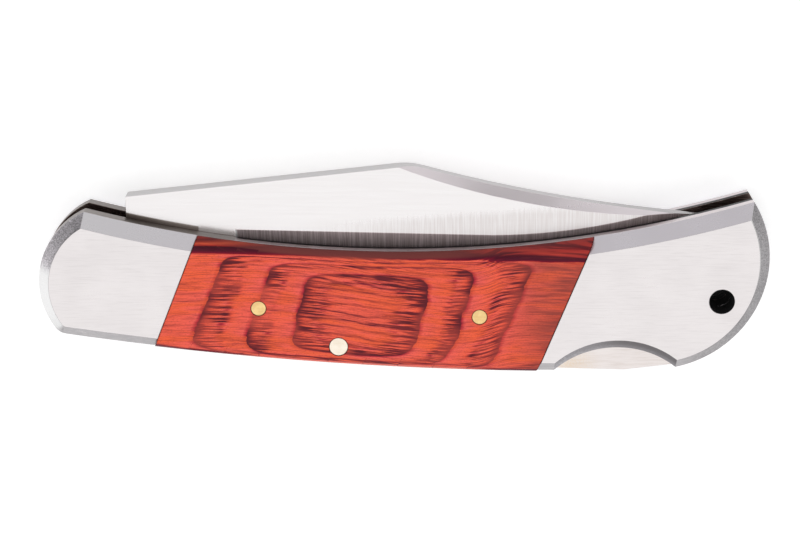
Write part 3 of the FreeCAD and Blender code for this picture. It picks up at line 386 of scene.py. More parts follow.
@dataclass(frozen=True)
class WoodFigure:
    """How the dyed plies meet the scale's face, in millimetres, and their colours."""

    middle_x: float = -7.1
    far_shift: float = 5.0
    lean: float = 0.15
    lean_growth: float = 0.009
    drop: float = 0.7
    slot_height: float = 3.6
    slot_radius: float = 201.8
    back_height: float = -16.96
    back_place: float = 28.0
    back_radius: float = 570.0
    rings_by_length: tuple = (
        (0.0, 0.0), (5.0, 0.45), (10.3, 1.0), (16.8, 2.0), (25.2, 3.0), (27.0, 3.2), (45.0, 3.6),
    )
    rings_by_height: tuple = ((0.0, 0.0), (0.4, 0.30), (0.71, 1.0), (0.86, 2.0), (0.93, 3.0), (1.2, 6.0))
    squareness: float = 2.7
    warp: float = 2.6
    warp_share: float = 0.04
    comb: float = 3.4
    ragged: float = 0.08
    broken_ring: float = -15.5
    broken_reach: float = 4.5
    faint_ring: float = 2.9
    line_spacing: float = 1.35
    grain_flow: tuple = (
        (-42.0, 3.3), (-25.0, 3.3), (-17.0, 2.8), (4.0, 0.4),
        (9.0, 0.15), (17.0, 1.8), (22.0, 2.1), (32.0, 0.8),
    )
    ply_stops: tuple = (
        (0.00, (0.24, 0.010, 0.030)),
        (0.03, (0.55, 0.035, 0.050)),
        (0.10, (0.96, 0.135, 0.110)),
        (0.36, (1.00, 0.142, 0.080)),
        (0.62, (0.96, 0.118, 0.060)),
        (0.78, (0.60, 0.065, 0.042)),
        (0.92, (0.21, 0.026, 0.026)),
        (1.00, (0.105, 0.013, 0.020)),
    )
    top_line: float = 2.85
    top_slope: float = -0.025
    top_stops: tuple = (
        (0.00, (0.60, 0.050, 0.035)),
        (0.03, (0.20, 0.005, 0.022)),
        (0.14, (0.085, 0.005, 0.018)),
        (0.30, (0.060, 0.005, 0.014)),
        (0.34, (0.36, 0.026, 0.020)),
        (0.41, (0.66, 0.095, 0.045)),
        (0.48, (0.34, 0.034, 0.022)),
        (0.54, (0.12, 0.010, 0.014)),
        (0.62, (0.30, 0.022, 0.018)),
        (0.70, (0.10, 0.008, 0.012)),
        (0.80, (0.20, 0.014, 0.016)),
    )
    top_depth: float = 4.0
    top_red: Colour = (0.44, 0.038, 0.032)
    top_dark: Colour = (0.11, 0.010, 0.018)
    bottom_line: float = 1.15
    bottom_band: float = 0.85
    burgundy: Colour = (0.12, 0.004, 0.018)
    # The pink edge along the back: a painted highlight.
    bottom_highlight: Colour = (0.86, 0.270, 0.220)
    brown: Colour = (0.24, 0.050, 0.040)
    orange: Colour = (0.96, 0.135, 0.045)
    brown_start: float = 15.0
    brown_reach: float = 11.0
    end_start: float = 15.0
    end_reach: float = 10.0
    right_start: float = -14.0
    right_reach: float = 16.0
    # Painted shade on the chamfer along the slot.
    slot_chamfer_shade: Colour = (0.20, 0.046, 0.040)
    plain: Colour = (1.00, 0.138, 0.085)
    grain_dark: Colour = (0.16, 0.018, 0.026)
    pin_rim: Colour = (0.06, 0.012, 0.010)
    pins: tuple = ((-10.7, -12.3, 1.5), (-23.8, -5.7, 1.2), (12.5, -7.1, 1.2))
    half_thickness: float = 6.0
    liner_line: float = 4.17
    seam: Colour = (0.012, 0.006, 0.006)
    warping: Noise = Noise((0.10, 0.17, 0.17))
    patches: Noise = Noise((0.21, 0.21, 0.21), (4.0, 1.0, 0.0), 1.0)
    streaks: Noise = Noise((0.10, 1.7, 0.5), detail=4.0, rough=0.65)
    teeth: Noise = Noise((0.16, 3.8, 0.8), (5.0, 2.0, 0.0), rough=0.6)
    hues: Noise = Noise((0.07, 0.45, 0.4), (2.0, 8.0, 0.0), 3.0, 0.6)
    lines: Noise = Noise((0.06, 1.9, 0.4), (3.0, 11.0, 0.0), 3.0, 0.68)
    fine_lines: Noise = Noise((0.26, 6.5, 1.6), (9.0, 2.0, 0.0), 3.0, 0.7)
    line_bends: Noise = Noise((0.12, 0.32, 0.3), (1.0, 6.0, 0.0), 3.0, 0.55)
    pores: Noise = Noise((3.0, 8.0, 4.0))


class Rings(NamedTuple):
    """Where a place on the wood's face lies among the plies' rings."""

    bottom: Socket
    aside: Socket
    leaned: Socket
    share: Socket
    out: Socket


class Grain(NamedTuple):
    """The bent coordinates that follow the grain, and the noises on them."""

    followed: Socket
    streak: Socket
    teeth: Socket
    hue: Socket
    lines: Socket


class PlyFigure:
    """The group Ply figure: rounded rings where the plies come to the face, with combed dark edges."""

    def __init__(self, figure: WoodFigure) -> None:
        """Starts the group.

        Args:
            figure: the rings' places and the plies' colours.
        """
        self.figure = figure
        self.maker = GroupMaker("Ply figure", {"Vector": None}, {"Color": "Color", "Grain": "Float"})
        self.s = self.maker.shader
        self.vector = self.maker.given["Vector"]
        self.x, self.y, self.z = self.s.parts(self.vector)

    def bowed(self, middle: float, radius: float, height: float) -> Socket:
        """Gives the height of a long arc over a place along the handle."""
        aside = self.s.minus(self.x, middle)
        return self.s.plus(self.s.math("DIVIDE", self.s.times(aside, aside), 2 * radius), height)

    def count_rings(self) -> Rings:
        """Finds how far out from the rings' middle a place is, counted in rings.

        Returns:
            The count, and the distances that it comes from.
        """
        s, figure = self.s, self.figure
        top = self.bowed(0.0, figure.slot_radius, figure.slot_height)
        bottom = self.bowed(figure.back_place, figure.back_radius, figure.back_height)
        middle = s.minus(s.times(s.plus(top, bottom), 0.5), figure.drop)
        half = s.times(s.minus(top, bottom), 0.5)
        rise = s.minus(self.y, middle)
        far = s.math("LESS_THAN", self.z, figure.half_thickness)
        centre = s.minus(figure.middle_x, s.times(far, figure.far_shift))
        aside = s.minus(self.x, centre)
        lean = s.math("MULTIPLY_ADD", s.absolute(aside), figure.lean_growth, figure.lean)
        warp = s.minus(s.streaked(self.vector, figure.warping), 0.5)
        leaned = s.minus(aside, s.times(lean, rise))
        length = s.plus(s.absolute(leaned), s.times(warp, figure.warp))
        share = s.math("DIVIDE", s.absolute(rise), half)
        share = s.plus(share, s.times(warp, figure.warp_share))
        by_length = s.curve(length, figure.rings_by_length)
        by_height = s.curve(share, figure.rings_by_height)
        power = figure.squareness
        powers = s.plus(s.math("POWER", by_length, power), s.math("POWER", by_height, power))
        return Rings(bottom, aside, leaned, share, s.math("POWER", powers, 1 / power))

    def follow_grain(self) -> Grain:
        """Bends the coordinates as the grain bends, and lays noises along them.

        Returns:
            The bent coordinates and the noises.
        """
        s, figure = self.s, self.figure
        flow = s.curve(self.x, figure.grain_flow)
        followed = s.node("CombineXYZ", {0: self.x, 1: s.minus(self.y, flow), 2: self.z}).outputs[0]
        streak = s.minus(s.streaked(followed, figure.streaks), 0.5)
        teeth = s.minus(s.fade(s.streaked(followed, figure.teeth), 0.38, 0.62), 0.5)
        hue = s.streaked(followed, figure.hues)
        return Grain(followed, streak, teeth, hue, s.streaked(followed, figure.lines))

    def colour_plies(self, rings: Rings, grain: Grain, inside: Socket) -> Socket:
        """Colours the plies, whose dark edges the grain combs into teeth.

        Args:
            rings: the count of rings.
            grain: the grain's noises.
            inside: how far through its own ply a place is.

        Returns:
            The colour.
        """
        s, figure = self.s, self.figure
        tooth = s.times(s.fade(inside, 0.30, 0.70), s.rest(inside))
        combed = s.plus(inside, s.times(tooth, grain.teeth, figure.comb), clamp=True)
        patchy = s.fade(s.streaked(self.vector, figure.patches), 0.38, 0.56, 0.55, 1.0)
        outer = s.times(s.fade(rings.out, figure.faint_ring + 0.4, figure.faint_ring, 0.60, 1.0), patchy)
        from_broken = s.absolute(s.minus(rings.leaned, figure.broken_ring))
        broken = s.fade(from_broken, figure.broken_reach, figure.broken_reach - 1.5)
        broken = s.times(broken, s.fade(rings.share, 0.50, 0.22, 0.0, 0.75))
        outer = s.times(outer, s.rest(broken))
        full = s.ramp(combed, figure.ply_stops)
        colour = s.mix(outer, s.mix(0.72, full, figure.plain), full)
        colour = s.mix(s.fade(rings.out, 0.40, 0.15), colour, figure.plain)
        warmed = s.times(s.fade(grain.hue, 0.46, 0.62), s.fade(inside, 0.75, 0.45, 0.0, 0.7))
        return s.mix(warmed, colour, figure.orange)

    def draw_lines(self, rings: Rings, grain: Grain, inside: Socket) -> Socket:
        """Draws the grain: even lines in the middle, loose lines outside it, and fine streaks.

        Args:
            rings: the count of rings.
            grain: the grain's noises.
            inside: how far through its own ply a place is.

        Returns:
            How dark the grain is, from 0 to 1.
        """
        s, figure = self.s, self.figure
        fine = s.streaked(grain.followed, figure.fine_lines)
        spread = s.streaked(grain.followed, figure.line_bends)
        level = s.parts(grain.followed)[1]
        phase = s.math("FRACT", s.math("MULTIPLY_ADD", level, 1 / figure.line_spacing, s.times(spread, 1.5)))
        line = s.fade(s.absolute(s.minus(phase, 0.5)), 0.22, 0.03)
        line = s.times(line, s.fade(grain.hue, 0.35, 0.55, 1.0, 0.45))
        drawn = s.times(line, s.times(s.fade(rings.out, 1.05, 0.85), 0.85))
        loose = s.times(s.fade(grain.lines, 0.54, 0.62), s.math("MULTIPLY_ADD", inside, 0.35, 0.12))
        streaks = s.times(s.fade(fine, 0.46, 0.64), 0.46)
        return s.plus(s.plus(drawn, loose), streaks, clamp=True)

    def brown_end(self, colour: Socket, grain: Grain) -> Socket:
        """Browns the right end of a colour in patches."""
        s, figure = self.s, self.figure
        patch = s.fade(s.plus(grain.hue, s.times(grain.teeth, 0.12)), 0.35, 0.62, 0.85, 0.30)
        browned = s.times(s.fade(self.x, figure.brown_start, figure.brown_start + figure.brown_reach), patch)
        return s.mix(browned, colour, figure.brown)

    def lay_top(self, colour: Socket, grain: Grain) -> Socket:
        """Lays the dark layers along the slot.

        Args:
            colour: what lies under them.
            grain: the grain's noises.

        Returns:
            The colour with the layers over it.
        """
        s, figure = self.s, self.figure
        over = s.minus(self.y, s.math("MULTIPLY_ADD", self.x, figure.top_slope, figure.top_line))
        rightward = s.fade(self.x, figure.right_start, figure.right_start + figure.right_reach)
        over = s.plus(over, s.times(grain.streak, s.math("MULTIPLY_ADD", rightward, 1.3, 0.5)))
        layered = s.ramp(s.math("DIVIDE", over, figure.top_depth), figure.top_stops)
        streaked = s.mix(s.fade(grain.lines, 0.40, 0.60), figure.top_red, figure.top_dark)
        above_band = s.times(s.fade(over, 0.7, 1.3), 0.85)
        layered = s.mix(s.times(rightward, above_band), layered, streaked)
        return s.mix(s.fade(over, -0.10, 0.10), colour, layered)

    def lay_bottom(self, colour: Socket, rings: Rings, grain: Grain) -> Socket:
        """Lays the pink edge, a painted highlight on the back's rounding, and the burgundy bands along the
        handle's back.

        Args:
            colour: what lies under them.
            rings: the distances from the rings' middle.
            grain: the grain's noises.

        Returns:
            The colour with the bands over it.
        """
        s, figure = self.s, self.figure
        under = s.plus(s.minus(self.y, rings.bottom), s.times(grain.streak, 0.4))
        ended = s.fade(s.absolute(rings.aside), figure.end_start, figure.end_start + figure.end_reach)
        from_line = s.absolute(s.minus(under, figure.bottom_line))
        thin = s.times(s.fade(from_line, 0.26, 0.08), s.math("MULTIPLY_ADD", ended, -0.6, 0.6))
        thick = s.times(s.fade(under, figure.bottom_band, figure.bottom_band - 0.25), ended)
        # The pink edge along the back is a painted highlight.
        bottom_sheen_mask = s.times(s.fade(under, 0.80, 0.30), s.math("MULTIPLY_ADD", ended, -0.8, 0.8))
        colour = s.mix(bottom_sheen_mask, colour, figure.bottom_highlight)
        return s.mix(s.math("MAXIMUM", thin, s.times(thick, 0.92)), colour, figure.burgundy)

    def shade_edges(self, colour: Socket, rings: Rings) -> Socket:
        """Darkens the pins' rims, the chamfer along the slot with painted shade, and the seam beside the liner.

        Args:
            colour: what is darkened.
            rings: the distances from the rings' middle.

        Returns:
            The darkened colour.
        """
        s, figure = self.s, self.figure
        for pin_x, pin_y, radius in figure.pins:
            away = s.away(self.vector, (pin_x, pin_y, 0.0), (1.0, 1.0, 0.0))
            colour = s.mix(s.fade(away, radius + 0.17, radius + 0.07, 0.0, 0.85), colour, figure.pin_rim)
        # The chamfer along the slot, facing up, takes painted shade.
        upward = s.own_normal()[1]
        nearer = s.fade(s.absolute(rings.aside), 25.0, 12.0, 0.25, 0.9)
        colour = s.mix(s.times(s.fade(upward, 0.34, 0.66), nearer), colour, figure.slot_chamfer_shade)
        from_middle = s.absolute(s.minus(self.z, figure.half_thickness))
        return s.mix(s.fade(from_middle, figure.liner_line + 0.05, figure.liner_line), colour, figure.seam)

    def make(self) -> None:
        """Builds the group, one layer of colour over another."""
        s, figure = self.s, self.figure
        rings = self.count_rings()
        grain = self.follow_grain()
        inside = s.math("FRACT", s.plus(rings.out, s.times(grain.streak, figure.ragged)))
        drawn = self.draw_lines(rings, grain, inside)
        pores = s.fade(s.streaked(grain.followed, figure.pores), 0.53, 0.68)
        colour = self.colour_plies(rings, grain, inside)
        colour = s.mix(drawn, colour, figure.grain_dark)
        colour = s.mix(s.times(pores, 0.30), colour, figure.grain_dark)
        colour = self.brown_end(colour, grain)
        colour = self.lay_top(colour, grain)
        colour = self.lay_bottom(colour, rings, grain)
        colour = self.shade_edges(colour, rings)
        s.put(self.maker.taken["Color"], colour)
        s.put(self.maker.taken["Grain"], s.plus(s.times(drawn, 0.6), s.times(pores, 0.4)))


# ----------------------------------------------------------------------------------------------------------
# Finishes


def new_material(name: str) -> tuple[bpy.types.Material, Shader, bpy.types.Node]:
    """Starts a material.

    Args:
        name: the material's name.

    Returns:
        The material, the shader that fills its tree, and its Principled BSDF.
    """
    material = bpy.data.materials.new(name)
    material.use_nodes = True
    shader = Shader(material.node_tree)
    return material, shader, material.node_tree.nodes["Principled BSDF"]


def add_bump(shader: Shader, surface: bpy.types.Node, height: Input, strength: float) -> None:
    """Feeds a height to the surface's normal.

    Args:
        shader: the material's tree.
        surface: the Principled BSDF.
        height: what rises and falls.
        strength: how much of it shows.
    """
    bump = shader.node("Bump", {"Height": height, "Distance": SCRATCH_DEPTH, "Strength": strength})
    shader.put(surface.inputs["Normal"], bump.outputs[0])


@dataclass(frozen=True)
class Steel:
    """A steel surface: brushed flats, grained facets whose colours are painted reflections, bright edges, a
    bore in painted shade and a dark inside, in mm.
    """

    name: str
    colour: Colour = (0.84, 0.80, 0.80)
    shade: Colour = (0.70, 0.66, 0.66)
    # The facets' colours, set by the way each faces, are painted reflections: the plain facet, the bright nose,
    # the dark butt and the dim back.
    facet: Colour = (0.73, 0.69, 0.735)
    nose: Colour = (0.77, 0.77, 0.77)
    nose_low: Colour = (0.64, 0.64, 0.64)
    butt: Colour = (0.34, 0.33, 0.34)
    back: Colour = (0.38, 0.365, 0.375)
    grain: Colour = (0.22, 0.21, 0.215)
    # Near black: the painted shade of the lanyard's bore and the painted shadow line beside the blade.
    dark: Colour = (0.006, 0.006, 0.007)
    worn: Colour = (0.95, 0.93, 0.93)
    inside: Colour = (0.42, 0.33, 0.30)
    inside_dark: Colour = (0.14, 0.10, 0.09)
    # The notch wall's painted shade and painted highlight.
    notch: Colour = (0.115, 0.105, 0.11)
    notch_highlight: Colour = (0.36, 0.345, 0.37)
    # The liner's slot edge takes painted shade beside the tang, and a painted shadow line beside the blade.
    slot_light: Colour = (0.36, 0.32, 0.30)
    slot_dark: Colour = (0.17, 0.145, 0.13)
    slot_start: float = -27.6
    slot_lit: float = 4.0
    slot_shaded: float = 18.0
    slot_shade_amount: float = 0.0
    gap_top: float = -1.0
    tan: Colour = (0.80, 0.62, 0.42)
    tan_place: Place = (28.0, -16.8, 0.0)
    tan_reach: float = 0.0
    tan_amount: float = 0.0
    roughness: float = 0.30
    facet_roughness: float = 0.34
    length: float = 7.0
    width: float = 0.075
    contrast: float = 0.50
    speckle: float = 0.0
    wear: float = 0.4
    relief: float = 0.25
    bore: tuple[float, float, float] = (52.2, -4.35, 2.6)
    notch_ring: tuple[float, float, float, float] = (35.5, -27.6, 14.2, 16.8)
    notch_foot: float = 4.05
    middle: float = 6.0
    inner_gap: float = 0.0
    # How strong the painted shadow and highlight lines along the flats' rims are.
    rim: float = 0.0

    def make(self) -> bpy.types.Material:
        """Builds the material."""
        material, s, surface = new_material(self.name)
        place = s.millimetres()
        # Brushed flats, and the ground facets round them, coloured by the way each faces as painted
        # reflections: a bright nose, a dark butt and a dim back.
        brushing = s.group("Brushing", Vector=place, Length=self.length, Width=self.width)
        speckle = s.group("Speckle", Vector=place)
        wear = s.group("Edge wear", Vector=place, Amount=self.wear)
        lines = s.fade(brushing.outputs["Value"], 0.38, 0.52)
        shaded = s.times(s.rest(lines), self.contrast)
        colour = s.mix(shaded, self.colour, self.shade)
        facet = speckle.outputs["Facet"]
        along, across, upright = s.own_normal()
        lower_nose_highlight = s.times(s.fade(along, -0.30, -0.45), s.fade(across, 0.26, 0.10))
        at_butt = s.fade(along, 0.05, 0.35)
        nose = s.mix(s.fade(across, -0.22, -0.50), self.nose, self.nose_low)
        ground = s.mix(lower_nose_highlight, s.mix(at_butt, self.facet, self.butt), nose)
        dim_back_reflection = s.times(s.fade(across, -0.40, -0.66), s.fade(along, 0.60, 0.30))
        ground = s.mix(dim_back_reflection, ground, self.back)
        colour = s.mix(facet, colour, s.mix(s.times(shaded, 0.6), ground, self.shade))
        # The grain on the end facets.
        ends = s.times(s.fade(s.absolute(along), 0.15, 0.40), facet)
        ends = s.times(ends, s.rest(lower_nose_highlight))
        spots = s.times(speckle.outputs["Value"], ends, self.speckle)
        colour = s.mix(spots, colour, self.grain)
        # The thumb notch's wall in painted shade, with a painted highlight at its foot and on its left.
        x, y, inner, outer = self.notch_ring
        notch = s.group("Ring mask", Vector=place, X=x, Y=y, Inner=inner, Outer=outer).outputs["Mask"]
        station, _, height = s.parts(place)
        from_middle = s.absolute(s.minus(height, self.middle))
        foot = s.fade(from_middle, self.notch_foot + 1.3, self.notch_foot + 0.2)
        at_left = s.fade(along, -0.05, 0.42)
        lit = s.math("MULTIPLY_ADD", foot, 0.45, s.times(at_left, 0.75), clamp=True)
        lit = s.times(lit, s.fade(speckle.outputs["Value"], 0.0, 1.0, 1.0, 0.55))
        colour = s.mix(notch, colour, s.mix(lit, self.notch, self.notch_highlight))
        # A painted shadow line and a painted highlight line where a flat rounds over into a facet.
        rim_shade = s.times(s.fade(upright, 0.86, 0.92), s.fade(upright, 0.998, 0.985))
        rim_shade = s.times(rim_shade, s.rest(lower_nose_highlight))
        rim_highlight = s.times(s.fade(upright, 0.725, 0.76), s.fade(upright, 0.90, 0.86))
        lightest = s.math("MAXIMUM", lower_nose_highlight, s.times(at_butt, s.fade(across, -0.25, 0.0)))
        colour = s.mix(s.times(rim_shade, self.rim), colour, self.grain)
        colour = s.mix(s.times(rim_highlight, lightest, self.rim), colour, (1.0, 1.0, 1.0))
        # A tan patch on the lock bar's tail.
        away = s.away(place, self.tan_place, (1.0, 1.6, 0.0))
        tanned = s.times(s.fade(away, self.tan_reach, 0.0), self.tan_amount)
        tanned = s.times(tanned, s.fade(speckle.outputs["Value"], 0.2, 0.8, 0.5, 1.0))
        colour = s.mix(tanned, colour, self.tan)
        # The liner's slot edge: painted shade beside the tang, and a painted shadow line beside the blade.
        slot_edge = s.fade(across, 0.5, 0.8)
        slot_shade_mask = s.times(s.fade(station, self.slot_start + 0.2, self.slot_start - 0.2), slot_edge)
        deeper = s.fade(station, self.slot_start - self.slot_lit, self.slot_start - self.slot_shaded)
        shadow = s.mix(deeper, self.slot_light, self.slot_dark)
        colour = s.mix(s.times(slot_shade_mask, self.slot_shade_amount), colour, shadow)
        beside = s.times(s.fade(from_middle, self.gap_top, self.gap_top - 0.25), slot_edge)
        beside = s.times(beside, s.fade(station, self.slot_start - 0.2, self.slot_start + 0.6))
        colour = s.mix(beside, colour, self.dark)
        colour = s.mix(wear.outputs["Mask"], colour, self.worn)
        # The lanyard hole's bore, painted near black as shade, and the liners' brown inside.
        x, y, outer = self.bore
        bore = s.group("Ring mask", Vector=place, X=x, Y=y, Inner=0.0, Outer=outer, Tilt=0.5).outputs["Mask"]
        colour = s.mix(bore, colour, self.dark)
        inside = s.math("LESS_THAN", from_middle, self.inner_gap)
        colour = s.mix(inside, colour, s.mix(lines, self.inside, self.inside_dark))
        s.put(surface.inputs["Base Color"], colour)
        uneven = s.fade(brushing.outputs["Patches"], 0.3, 0.7, -0.04, 0.05)
        rough = s.plus(s.plus(self.roughness, uneven), s.times(lines, 0.06))
        rough = s.plus(rough, s.times(facet, self.facet_roughness - self.roughness))
        rough = s.plus(rough, s.times(spots, 0.2))
        s.put(surface.inputs["Roughness"], s.plus(rough, s.times(bore, 0.6), clamp=True))
        s.put(surface.inputs["Metallic"], s.rest(bore))
        relief = s.plus(brushing.outputs["Value"], s.times(spots, 0.6))
        add_bump(s, surface, relief, self.relief)
        return material


@dataclass(frozen=True)
class GroundSteel:
    """The blade's steel: satin flats, a ground bevel and the scratches above it, in millimetres."""

    name: str = "ground_blade_steel"
    colour: Colour = (0.88, 0.855, 0.855)
    scratch: Colour = (0.62, 0.55, 0.53)
    # The bevel's dark, warm tone is a painted reflection of the handle beside it.
    bevel: Colour = (0.64, 0.535, 0.545)
    bevel_dark: Colour = (0.42, 0.335, 0.335)
    # The tang's painted shade along the slot, darker further from its end.
    tang_light: Colour = (0.36, 0.315, 0.29)
    tang_dark: Colour = (0.20, 0.165, 0.145)
    tang_band: float = 0.62
    tang_end: float = -33.7
    tang_reach: float = 14.0
    slot_height: float = 3.6
    slot_radius: float = 201.8
    swage: Colour = (0.90, 0.83, 0.86)
    # The spine's darker grey: painted shade.
    spine: Colour = (0.44, 0.427, 0.43)
    worn: Colour = (0.95, 0.93, 0.93)
    # The plunge line's painted highlight.
    line: Colour = (1.0, 0.99, 0.98)
    roughness: float = 0.24
    relief: float = 0.35
    wear: float = 0.55
    satin_length: float = 16.0
    satin_width: float = 0.30
    scratch_length: float = 14.0
    scratch_width: float = 0.10
    scratch_turn: float = math.radians(89)
    scratch_top: float = 9.2
    scratch_rise: float = 0.07
    scratch_fade: float = 1.6
    plunge: float = -27.6
    plunge_top: float = 6.6
    plunge_half: float = 0.26
    scratch_wander: float = 2.8
    bevel_metal_loss: float = 0.55
    scratch_start: float = -20.0
    belly: float = 6.0

    def make(self) -> bpy.types.Material:
        """Builds the material."""
        material, s, surface = new_material(self.name)
        place = s.millimetres()
        x, y, _ = s.parts(place)
        across = s.own_normal()[1]
        flat = s.group("Brushing", Vector=place, Length=self.satin_length, Width=self.satin_width)
        level = s.stretched(place, (1.0, 1.0, 0.0))
        ground = s.group(
            "Brushing",
            Vector=level,
            Length=self.scratch_length,
            Width=self.scratch_width,
            Turn=self.scratch_turn,
        )
        wear = s.group("Edge wear", Vector=place, Amount=self.wear)
        # The scratches above the bevel, each of its own height.
        column = s.noise(s.node("CombineXYZ", {0: x}).outputs[0], 2.4, 2.0)
        even_top = s.math("MULTIPLY_ADD", x, self.scratch_rise, self.scratch_top - self.scratch_wander / 2)
        top = s.plus(even_top, s.times(column, self.scratch_wander))
        above = s.fade(s.minus(y, top), 0.0, -self.scratch_fade)
        zone = s.times(above, s.fade(x, self.scratch_start, self.belly, 0.12, 1.0))
        zone = s.times(zone, s.fade(x, self.plunge, self.plunge + 0.4))
        scratches = s.fade(ground.outputs["Value"], 0.56, 0.47)
        marks = s.fade(ground.outputs["Value"], 0.60, 0.42)
        marked = s.times(marks, zone, 0.42)
        # Painted shade: the dark band along the handle's slot, on the tang.
        slot = s.math("MULTIPLY_ADD", s.times(x, x), 0.5 / self.slot_radius, self.slot_height)
        above_slot = s.minus(y, slot)
        in_band = s.fade(above_slot, self.tang_band + 0.12, self.tang_band - 0.05)
        tang_band_shade = s.times(in_band, s.fade(x, self.tang_end + 0.15, self.tang_end - 0.15))
        further = s.fade(x, self.tang_end, self.tang_end - self.tang_reach)
        tang = s.mix(further, self.tang_light, self.tang_dark)
        # Flats, the bevel with its painted reflection, the plunge line as a painted highlight, the swage, and
        # the spine in painted shade, one over another.
        colour = s.mix(marked, self.colour, self.scratch)
        satin = s.times(s.fade(flat.outputs["Value"], 0.62, 0.4), 0.06)
        colour = s.mix(satin, colour, self.scratch)
        colour = s.mix(tang_band_shade, colour, tang)
        # The bevel's dark, warm tone is a painted reflection of the handle; its scratches are the grind's own.
        bevel = s.fade(across, -0.03, -0.08)
        colour = s.mix(bevel, colour, s.mix(scratches, self.bevel, self.bevel_dark))
        # The plunge line: a painted highlight.
        from_plunge = s.absolute(s.minus(x, self.plunge))
        plunge = s.fade(from_plunge, self.plunge_half, self.plunge_half - 0.14)
        plunge = s.times(plunge, s.fade(y, self.plunge_top, self.plunge_top - 0.3))
        colour = s.mix(plunge, colour, self.line)
        swage = s.fade(across, 0.03, 0.08)
        colour = s.mix(swage, colour, s.mix(satin, self.swage, self.scratch))
        # The spine's darker grey is painted shade.
        colour = s.mix(s.fade(across, 0.7, 0.9), colour, self.spine)
        colour = s.mix(wear.outputs["Mask"], colour, self.worn)
        s.put(surface.inputs["Base Color"], colour)
        rough = s.plus(self.roughness, s.times(zone, 0.10))
        s.put(surface.inputs["Roughness"], s.plus(rough, s.times(bevel, 0.16)))
        s.put(surface.inputs["Metallic"], s.math("MULTIPLY_ADD", bevel, -self.bevel_metal_loss, 1.0))
        relief = s.plus(s.times(ground.outputs["Value"], zone), s.times(satin, 0.5))
        add_bump(s, surface, relief, self.relief)
        return material


@dataclass(frozen=True)
class LaminatedWood:
    """Dyed and resin-filled veneers, cut through and polished."""

    name: str = "laminated_wood"
    roughness: float = 0.40
    specular: float = 0.12
    edge: Colour = (0.010, 0.004, 0.004)
    edge_amount: float = 2.0
    edge_reach: float = 0.27
    relief: float = 0.4

    def make(self) -> bpy.types.Material:
        """Builds the material."""
        material, s, surface = new_material(self.name)
        place = s.millimetres()
        figure = s.group("Ply figure", Vector=place)
        wear = s.group("Edge wear", Vector=place, Amount=self.edge_amount, Reach=self.edge_reach)
        colour = s.mix(wear.outputs["Mask"], figure.outputs["Color"], self.edge)
        s.put(surface.inputs["Base Color"], colour)
        rough = s.plus(self.roughness, s.times(figure.outputs["Grain"], 0.15))
        s.put(surface.inputs["Roughness"], rough)
        surface.inputs["Specular IOR Level"].default_value = self.specular
        add_bump(s, surface, s.rest(figure.outputs["Grain"]), self.relief)
        return material


@dataclass(frozen=True)
class Brass:
    """A pin's end, sanded flush with the wood."""

    name: str
    colour: Colour = (0.95, 0.70, 0.33)
    dull: Colour = (0.72, 0.44, 0.18)
    rim: Colour = (0.22, 0.10, 0.04)
    roughness: float = 0.30
    relief: float = 0.25
    length: float = 5.0
    width: float = 0.10
    wear: float = 0.9
    wear_reach: float = 0.14
    tarnish: Noise = Noise((0.9, 0.9, 0.9))

    def make(self) -> bpy.types.Material:
        """Builds the material."""
        material, s, surface = new_material(self.name)
        place = s.millimetres()
        brushing = s.group("Brushing", Vector=place, Length=self.length, Width=self.width)
        wear = s.group("Edge wear", Vector=place, Amount=self.wear, Reach=self.wear_reach)
        patches = s.fade(s.streaked(place, self.tarnish), 0.40, 0.62)
        tarnish = s.times(s.fade(brushing.outputs["Value"], 0.42, 0.62), 0.20)
        tarnish = s.plus(tarnish, s.times(patches, 0.22))
        colour = s.mix(tarnish, self.colour, self.dull)
        colour = s.mix(wear.outputs["Mask"], colour, self.rim)
        s.put(surface.inputs["Base Color"], colour)
        s.put(surface.inputs["Roughness"], s.plus(self.roughness, s.times(tarnish, 0.4)))
        surface.inputs["Metallic"].default_value = 1.0
        add_bump(s, surface, brushing.outputs["Value"], self.relief)
        return material


@dataclass
class Finishes:
    """Every material of the knife, by the record's slot."""

    figure: WoodFigure = WoodFigure()
    made: dict[Slot, bpy.types.Material] = field(default_factory=dict)

    def make(self) -> None:
        """Builds the groups and the materials."""
        make_brushing()
        make_speckle()
        make_edge_wear()
        make_ring_mask()
        PlyFigure(self.figure).make()
        recipes = {
            Slot.BLADE: GroundSteel(),
            Slot.LOCK: Steel(
                "lock_bar_steel",
                colour=(0.86, 0.80, 0.78),
                shade=(0.66, 0.58, 0.54),
                tan_reach=6.0,
                tan_amount=0.55,
            ),
            Slot.SPRING: Steel(
                "spring_steel",
                colour=(0.55, 0.55, 0.57),
                shade=(0.36, 0.36, 0.38),
                roughness=0.35,
            ),
            Slot.LINER: Steel(
                "liner_steel",
                facet=(0.70, 0.64, 0.65),
                butt=(0.6, 0.58, 0.6),
                roughness=0.24,
                inner_gap=1.75,
                slot_shade_amount=0.9,
                gap_top=2.75,
            ),
            Slot.BOLSTER: Steel("bolster_steel", speckle=0.85, wear=0.12, facet_roughness=0.27, rim=0.95),
            Slot.HIDDEN_PIN: Steel("hidden_pin_steel", colour=(0.60, 0.60, 0.62), roughness=0.40),
            Slot.WOOD: LaminatedWood(),
            Slot.BRASS: Brass("brass"),
            Slot.PALE_BRASS: Brass("pale_brass", colour=(1.0, 0.91, 0.78), dull=(0.88, 0.74, 0.56)),
        }
        for slot, recipe in recipes.items():
            self.made[slot] = recipe.make()

    def dress(self, piece: bpy.types.Object, slot: Slot) -> None:
        """Gives a piece the material of a slot.

        Args:
            piece: the object to dress.
            slot: the slot whose material it takes.
        """
        piece.data.materials.clear()
        piece.data.materials.append(self.made[slot])


# ----------------------------------------------------------------------------------------------------------
# Modelling


